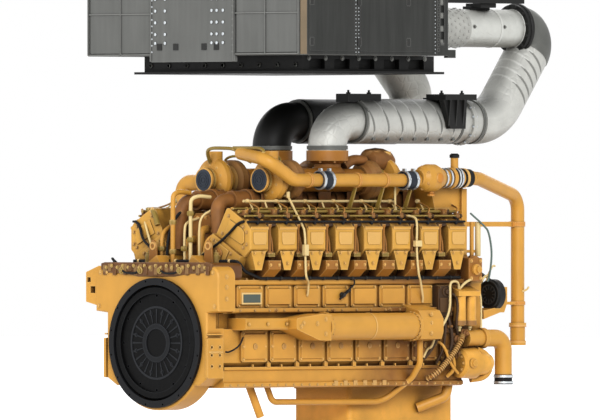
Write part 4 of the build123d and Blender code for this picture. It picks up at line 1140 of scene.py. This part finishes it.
def build_front_trim():
    """Uprights, cables, a lifting handle, pulleys and covers at the front of the engine."""
    uprights, pale, cable, handle, face = shapes(5)
    uprights.block((2540, 2590), (-440, -400), (590, 1050))
    uprights.block((2500, 2720), (-436, -404), (608, 628))
    uprights.turned((2640, -436, 590), UP, [(0, 15), (230, 15)], 12)
    piece("front_uprights", uprights, YELLOW, bevel=3)
    pale.turned((2696, -440, 584), UP, [(0, 16), (6, 20), (230, 20), (238, 14)], 14)
    piece("front_pale_tube", pale, PALE)
    path = [(2600, -464, 880), (2640, -470, 850), (2690, -470, 820), (2730, -470, 790), (2770, -470, 760)]
    path += [(2800, -470, 650), (2806, -466, 560), (2800, -450, 440), (2790, -440, 410)]
    cable.pipe(path, 7, 8)
    piece("sensor_cable", cable, GREEN_CABLE)
    handle.pipe([(2790, -434, 415), (2812, -434, 470), (2850, -434, 520), (2872, -434, 516)], 7, 8)
    handle.pipe([(2710, -434, 380), (2760, -434, 440), (2800, -434, 452)], 9, 8)
    piece("alternator_handle", handle, PALE)
    for radius, depth in ((98, 6), (70, 4)):
        face.ring((2810 - depth / 2, -434, 319), AHEAD, radius - 8, radius, depth, 36)
    for k in range(12):
        face.ray((2812, -434, 319), 2 * math.pi * k / 12, (34, 3), (62, 6), 4)
    piece("alternator_face", face, BLACK, bevel=1)
    build_belt_drive((-434, 319), (-220, 430))
    covers, rim = shapes(2)
    for y, z, radius in ((220, 430, 120), (-220, 430, 120), (0, 500, 86)):
        covers.turned((2740, y, z), AHEAD, [(-4, radius - 52), (4, radius - 54), (8, radius - 62)], 32)
        covers.bolt_circle((2724, y, z), AHEAD, radius - 9, 8, 7, 9)
    covers.bolts(2710, range(-380, 381, 95), -130, AHEAD, 9, 9)
    covers.bolts(2710, (-445, 445), (-60, 30, 120, 210, 300), AHEAD, 9, 9)
    piece("front_cover_fixings", covers, YELLOW)
    for radius in (280, 230, 180):
        rim.ring((2742, 0, 0), AHEAD, radius - 10, radius, 8, 64)
    rim.bolt_circle((2780, 0, 0), AHEAD, 130, 12, 10, 12)
    piece("damper_rings", rim, BLACK, "crank")


def build_belt_drive(alternator, drive):
    """Two grooved pulleys, given by (y, z), and two belts round both."""
    pulleys, belts = shapes(2)
    grooves = [(0, 40), (10, 60), (16, 48), (22, 60), (28, 48), (34, 60), (44, 40)]
    pulleys.turned((2884, *alternator), AHEAD, grooves, 28)
    pulleys.turned((2884, *drive), AHEAD, grooves, 28)
    pulleys.turned((2740, *drive), AHEAD, [(0, 52), (20, 52), (24, 30), (146, 30)], 24)
    piece("accessory_pulleys", pulleys, DULL_STEEL)
    across, along = Vector((0, -0.46, 0.888)), Vector((0, 0.888, 0.46))
    for x in (2898, 2912):
        outlines = []
        for turn, centre in ((0.5, alternator), (-0.5, drive)):
            for k in range(17):
                angle = math.pi * (turn + k / 16)
                out = along * math.cos(angle) + across * math.sin(angle)
                corners = ((-4, 58), (4, 58), (4, 51), (-4, 51))
                outlines.append([Vector((x + dx, *centre)) + out * radius for dx, radius in corners])
        belts.joined(outlines, False)
    piece("alternator_belts", belts, RUBBER)


def build_pump_trim():
    """Flange bolts, hose bands and small pipes at the water pump and its elbow."""
    bolts, bands, pipes = shapes(3)
    bolts.bolt_circle((2400, -532, -150), BACK, 62, 8, 8, 9)
    bolts.turned((2450, -636, -150), RIGHT, [(0, 34), (10, 34), (14, 24), (26, 22)], 18)
    piece("pump_bolts", bolts, YELLOW)
    bands.ring((2853, -532, -244), UP, 62, 69, 16)
    bands.ring((2853, -532, -286), UP, 62, 69, 14)
    piece("inlet_hose_bands", bands, PLATED, bevel=1)
    bypass = [(2560, -560, -60), (2640, -580, -90), (2700, -560, -180), (2660, -540, -250)]
    bypass += [(2560, -500, -262)]
    pipes.pipe(bypass, 24, 14)
    pipes.pipe([(2300, -500, -60), (2320, -560, -80), (2350, -560, -190), (2330, -500, -240)], 14, 12)
    pipes.pipe([(2200, -500, 10), (2240, -560, -20), (2290, -570, -150), (2380, -560, -220)], 10)
    piece("pump_bypass_pipes", pipes, YELLOW)


def build_cooler_trim():
    """Bolted flanges, rings and a breather hose along the oil cooler."""
    bolts, rings, hose = shapes(3)
    for x, way in ((1038, AHEAD), (1876, BACK)):
        for k in range(10):
            bolts.bolt(Vector((x, -600, 108)) + spoke(-math.pi * k / 9) * 95, way, 6, 8)
    for x, z in ((748, 134), (880, 130), (725, 112), (960, 60), (960, 160)):
        bolts.bolt((x, -690, z), RIGHT, 11, 9)
    bolts.bolts(1990, -686, (60, 130, 190), RIGHT, 10, 9)
    bolts.bolts((300, 480, 660), -617, 129, RIGHT, 8, 8)
    piece("cooler_bolts", bolts, YELLOW)
    rings.ring((1457, -600, 108), AHEAD, 92, 95, 10, 48)
    rings.ring((1985, -580, 46), UP, 20, 30, 26, 20)
    piece("cooler_rings", rings, YELLOW, bevel=1)
    hose.pipe([(180, -505, -58), (200, -524, -62), (300, -524, -20), (345, -512, 40)], 6, 8)
    piece("breather_hose", hose, RUBBER)


# Exhaust


def build_lagging_straps():
    """Slanting straps with buckles round the lagged duct, and the joint's bolts."""
    straps, buckles, bolts, bands = shapes(4)
    for x in (1690, 1830, 1965, 2090, 2215, 2350, 2470):
        straps.ring((x, -TURBO_Y, DUCT_Z), (1, 0, 0.38), 153, 157, 14, 40)
        low_x, low_y, low_z = x + 52, -TURBO_Y - 96, DUCT_Z - 124
        buckles.block((low_x - 12, low_x + 12), (low_y - 14, low_y + 10), (low_z - 8, low_z + 14))
    bottom, top = Vector((3100, -TURBO_Y, 1642)), Vector((3352, -TURBO_Y, 1980))
    for share in (0.2, 0.36, 0.52, 0.68, 0.84):
        place = bottom.lerp(top, share)
        straps.ring(place, (0.895, 0, 0.604), 153, 157, 14, 40)
        outer = place + Vector((120, 0, -90))
        buckles.block((outer.x - 10, outer.x + 12), (outer.y - 12, outer.y + 12), (outer.z - 8, outer.z + 8))
    piece("lagging_straps", straps, DULL_STEEL)
    piece("lagging_buckles", buckles, DULL_STEEL, bevel=1.5)
    for x, way in ((2674, BACK), (2702, AHEAD)):
        bolts.bolt_circle((x, -TURBO_Y, DUCT_Z), way, 154, 14, 7, 10)
    piece("duct_joint_bolts", bolts, PLATED)
    for x in (2580, 2790):
        bands.ring((x, -TURBO_Y, DUCT_Z), AHEAD, 145, 155, 22, 40)
    for y in (-TURBO_Y, TURBO_Y):
        bands.ring((MIDDLE_X, y, 1330), UP, 131, 141, 26, 40)
        bands.ring((1640, y, DUCT_Z), AHEAD, 132, 150, 16, 40)
    piece("duct_end_bands", bands, DULL_STEEL, bevel=1)


def build_saddle_trim():
    """Studs and ribs on the saddles over the duct."""
    studs, ribs = shapes(2)
    for x, y in ((1600, -TURBO_Y), (1800, -TURBO_Y), (2400, -380), (2600, -380)):
        studs.turned((x, y, 1700), UP, [(0, 16), (10, 16), (10, 8), (26, 8)], 10)
    piece("saddle_studs", studs, BLACK)
    for x in (2380, 2450, 2520):
        ribs.slab([(0, -470, 1660), (0, -492, 1660), (0, -470, 1480)], (x - 5, 0, 0), (10, 0, 0))
    piece("saddle_ribs", ribs, BLACK, bevel=1)


def build_inlet_trim():
    """Clamp bolts, bands, a stained sleeve, a bracket and an injector on the module's inlet pipe."""
    flange, bands, sleeve, bolts, bracket = shapes(5)
    y, z = -TURBO_Y, 2159
    flange.ring((3218, y, z), AHEAD, 131, 168, 26, 48)
    flange.bolt_circle((3205, y, z), BACK, 154, 12, 8, 14, turn=0.2)
    piece("inlet_flange", flange, BLACK, bevel=2)
    for x in (1860, 2010, 2980):
        bands.ring((x, y, z), AHEAD, 130, 134, 18, 40)
    piece("inlet_pipe_bands", bands, WHITE_PIPE)
    sleeve.ring((2560, y, z), AHEAD, 129, 135, 226, 48)
    for row in range(5):
        for k in range(18):
            out = spoke(2 * math.pi * (k + 0.5 * (row % 2)) / 18)
            sleeve.turned(Vector((2480 + 42 * row, y, z)) + out * 132, out, [(0, 9), (6, 9), (9, 5)], 8)
    piece("inlet_pipe_sleeve", sleeve, STAINED_SLEEVE)
    for x in (2704, 3000):
        bolts.turned((x, y - 128, 2168), RIGHT, [(0, 14), (6, 14), (6, 8), (16, 8)], 10)
    for place in crossings((1850, 1880, 1910, 1940), y - 118, (2080, 2150, 2220)):
        bolts.turned(place, RIGHT, [(-10, 6), (4, 6)], 8)
    piece("inlet_pipe_bolts", bolts, DULL_STEEL)
    bracket.block((2760, 2950), (y - 40, y + 40), (2286, 2310))
    injector = [(0, 46), (20, 46), (20, 26), (70, 26), (76, 34), (96, 34)]
    bracket.turned((2855, y, 2300), UP, injector, 20)
    bracket.block((2300, 3180), (y - 150, y - 110), (2330, 2362))
    bracket.block((2780, 2930), (y - 120, y + 30), (2300, 2330))
    piece("inlet_bracket", bracket, BLACK, bevel=3)


# Exhaust cleaning module


def build_module_trim():
    """Rivets, latches, seams, square holes and rails on the module's panels."""
    windows, plate_bolts, strips = shapes(3)
    x = MODULE_REAR_X - 2
    for _, y, z in crossings(x, (318, 160, -114, -234), (2470, 2014)):
        windows.block((x - 3, x + 4), (y - 24, y + 24), (z - 22, z + 22))
    piece("bolt_plate_windows", windows, BLACK, bevel=1)
    rows = (2040, 2100, 2180, 2260, 2340, 2430, 2480)
    for place in crossings(x, (356, 262, -190, -240, -300), rows):
        plate_bolts.turned(place, BACK, [(0, 11), (5, 11), (7, 7)], 10)
    for place in crossings(x + 6, (-392, 392), range(1980, 2465, 44)):
        plate_bolts.turned(place, BACK, [(-4, 7), (8, 7), (10, 4)], 8)
    piece("bolt_plate_bolts", plate_bolts, PLATED)
    for y in (-398, 400):
        strips.block((x - 8, x + 12), (y - 6, y + 6), (1915, 2500))
    for y in (-1018, -700, 700, 1018):
        strips.block((x - 3, x + 10), (y - 4, y + 4), (1960, 2500))
    for z in (1962, 2240):
        for y in ((-1010, -405), (405, 1010)):
            strips.block((x + 2, x + 8), y, (z - 4, z + 4))
    piece("rear_panel_strips", strips, REAR_GREY, bevel=1.5)
    build_module_sides(-MODULE_Y)
    panels, base = shapes(2)
    for y in (-900, -540, 540, 900):
        panels.block((1798, 1812), (y - 120, y + 120), (1990, 2470))
    panels.ring((1806, TURBO_Y, 2099), AHEAD, 150, 186, 16, 40)
    panels.ring((1806, -TURBO_Y, 2159), AHEAD, 160, 196, 16, 40)
    piece("front_access_panels", panels, SIDE_GREY, bevel=3)
    for y in range(-700, 701, 175):
        base.turned((662, y, 1890), BACK, [(0, 16), (6, 16), (10, 10)], 12)
    base.bolts(range(720, 1841, 160), -768, 1936, RIGHT, 12, 8)
    piece("base_frame_bolts", base.mirrored(), DULL_STEEL)


def build_module_sides(y):
    """Latches, rivets, clamps and a perforated strip on the module's side at y and on its twin."""
    latches, rivets, clamps, strip = shapes(4)
    for start, _, z in crossings((470, 925, 1400), y, (2044, 2320)):
        latches.block((start, start + 34), (y - 0.4, y + 6), (z - 26, z + 26))
    for place in crossings((432, 908, 936, 1676), y + 4, range(1974, 2475, 25)):
        rivets.turned(place, RIGHT, [(-2, 4), (3, 4), (3.9, 2)], 6)
    for z in range(1985, 2462, 34):
        latches.block((1698, 1716), (y - 0.4, y + 10), (z, z + 19))
    piece("side_latches", latches.mirrored(), BLACK, bevel=1.5)
    piece("side_rivets", rivets.mirrored(), PLATED)
    for z in (2046, 2140, 2230, 2320, 2410):
        clamps.block((1728, 1762), (y + 6, y + 18), (z - 20, z + 20))
        clamps.bolt((1745, y + 10, z), RIGHT, 10, 6)
    piece("front_column_clamps", clamps.mirrored(), DULL_STEEL, bevel=2)
    strip.block((379, 436.4), (y - 0.2, y + 8), (1958, 2499))
    for z in range(1976, 2472, 33):
        strip.ring((408, y - 0.1, z), RIGHT, 4, 8, 0.8, 8)
    piece("corner_columns", strip.mirrored(), PRIMER_BROWN, bevel=1.5)


# Studio


def build_floor():
    """A pale floor that shines white to the camera."""
    mesh = bpy.data.meshes.new("floor")
    reach, depth = 60.0, -0.66
    corners = [(-reach, -reach, depth), (reach, -reach, depth), (reach, reach, depth), (-reach, reach, depth)]
    mesh.from_pydata(corners, [], [(0, 1, 2, 3)])
    floor = bpy.data.objects.new("floor", mesh)
    put(floor)
    finish, tree, shader = new_finish("pale floor", 0.9)
    shader.inputs["Base Color"].default_value = (0.82, 0.82, 0.82, 1)
    light = tree.nodes.new("ShaderNodeLightPath").outputs
    seen = math_node(tree, "MAXIMUM", light["Is Camera Ray"], light["Is Glossy Ray"])
    shader.inputs["Emission Color"].default_value = (1, 1, 1, 1)
    tree.links.new(times(tree, seen, 0.62), shader.inputs["Emission Strength"])
    mesh.materials.append(finish)


def build_world():
    """A white room to look at, and a dimmer one to light the engine."""
    world = bpy.data.worlds.new("white room")
    bpy.context.scene.world = world
    world.use_nodes = True
    tree = world.node_tree
    dim = tree.nodes["Background"]
    bright = tree.nodes.new("ShaderNodeBackground")
    for node, strength in ((dim, 0.5), (bright, 1.0)):
        node.inputs["Color"].default_value = (1, 1, 1, 1)
        node.inputs["Strength"].default_value = strength
    light = tree.nodes.new("ShaderNodeLightPath").outputs
    seen = math_node(tree, "MAXIMUM", light["Is Camera Ray"], light["Is Glossy Ray"])
    seen = math_node(tree, "MAXIMUM", seen, light["Is Transmission Ray"])
    mixer = tree.nodes.new("ShaderNodeMixShader")
    for k, value in enumerate((seen, dim.outputs[0], bright.outputs[0])):
        tree.links.new(value, mixer.inputs[k])
    tree.links.new(mixer.outputs[0], tree.nodes["World Output"].inputs[0])


def build_lamps():
    """Three soft lamps: a key, one from behind and one from the far side."""
    for name, way, strength, softness in (
        ("key lamp", (0.66, 0.88, -0.42), 1.75, 24),
        ("rear fill", (0.95, -0.15, -0.25), 0.55, 50),
        ("far fill", (-0.7, -0.7, -0.5), 0.9, 50),
    ):
        lamp = bpy.data.lights.new(name, "SUN")
        lamp.energy = strength
        lamp.angle = math.radians(softness)
        holder = bpy.data.objects.new(name, lamp)
        holder.rotation_mode = "QUATERNION"
        holder.rotation_quaternion = Vector(way).to_track_quat("-Z", "Y")
        put(holder)


def build_camera():
    """A long lens, level with the middle of the engine and at 45 degrees to it."""
    lens = bpy.data.cameras.new("camera")
    lens.lens = 900
    lens.sensor_width = 36
    lens.clip_start, lens.clip_end = 50.0, 400.0
    eye = bpy.data.objects.new("camera", lens)
    aim, distance = Vector((0.701, -0.701, 0.903)), 101.85
    back = Vector((-math.sqrt(0.5), -math.sqrt(0.5), 0))
    eye.location = aim + back * distance
    eye.rotation_mode = "QUATERNION"
    eye.rotation_quaternion = (-back).to_track_quat("-Z", "Y")
    put(eye)
    bpy.context.scene.camera = eye


bpy.context.scene.view_settings.view_transform = "Standard"
build_camera()
finish_solids()
for build in (
    build_flywheel_face,
    build_housing_trim,
    build_crankcase_trim,
    build_flange_studs,
    build_cover_trim,
    build_head_trim,
    build_fuel_lines,
    build_bank_ends,
    build_rear_valley,
    build_roof_rails,
    build_small_controls,
    build_turbo_trim,
    build_exhaust_trim,
    build_header_trim,
    build_thermostat_trim,
    build_return_pipe_trim,
    build_filter_trim,
    build_front_trim,
    build_pump_trim,
    build_cooler_trim,
    build_lagging_straps,
    build_saddle_trim,
    build_inlet_trim,
    build_module_trim,
    build_floor,
    build_world,
    build_lamps,
):
    build()
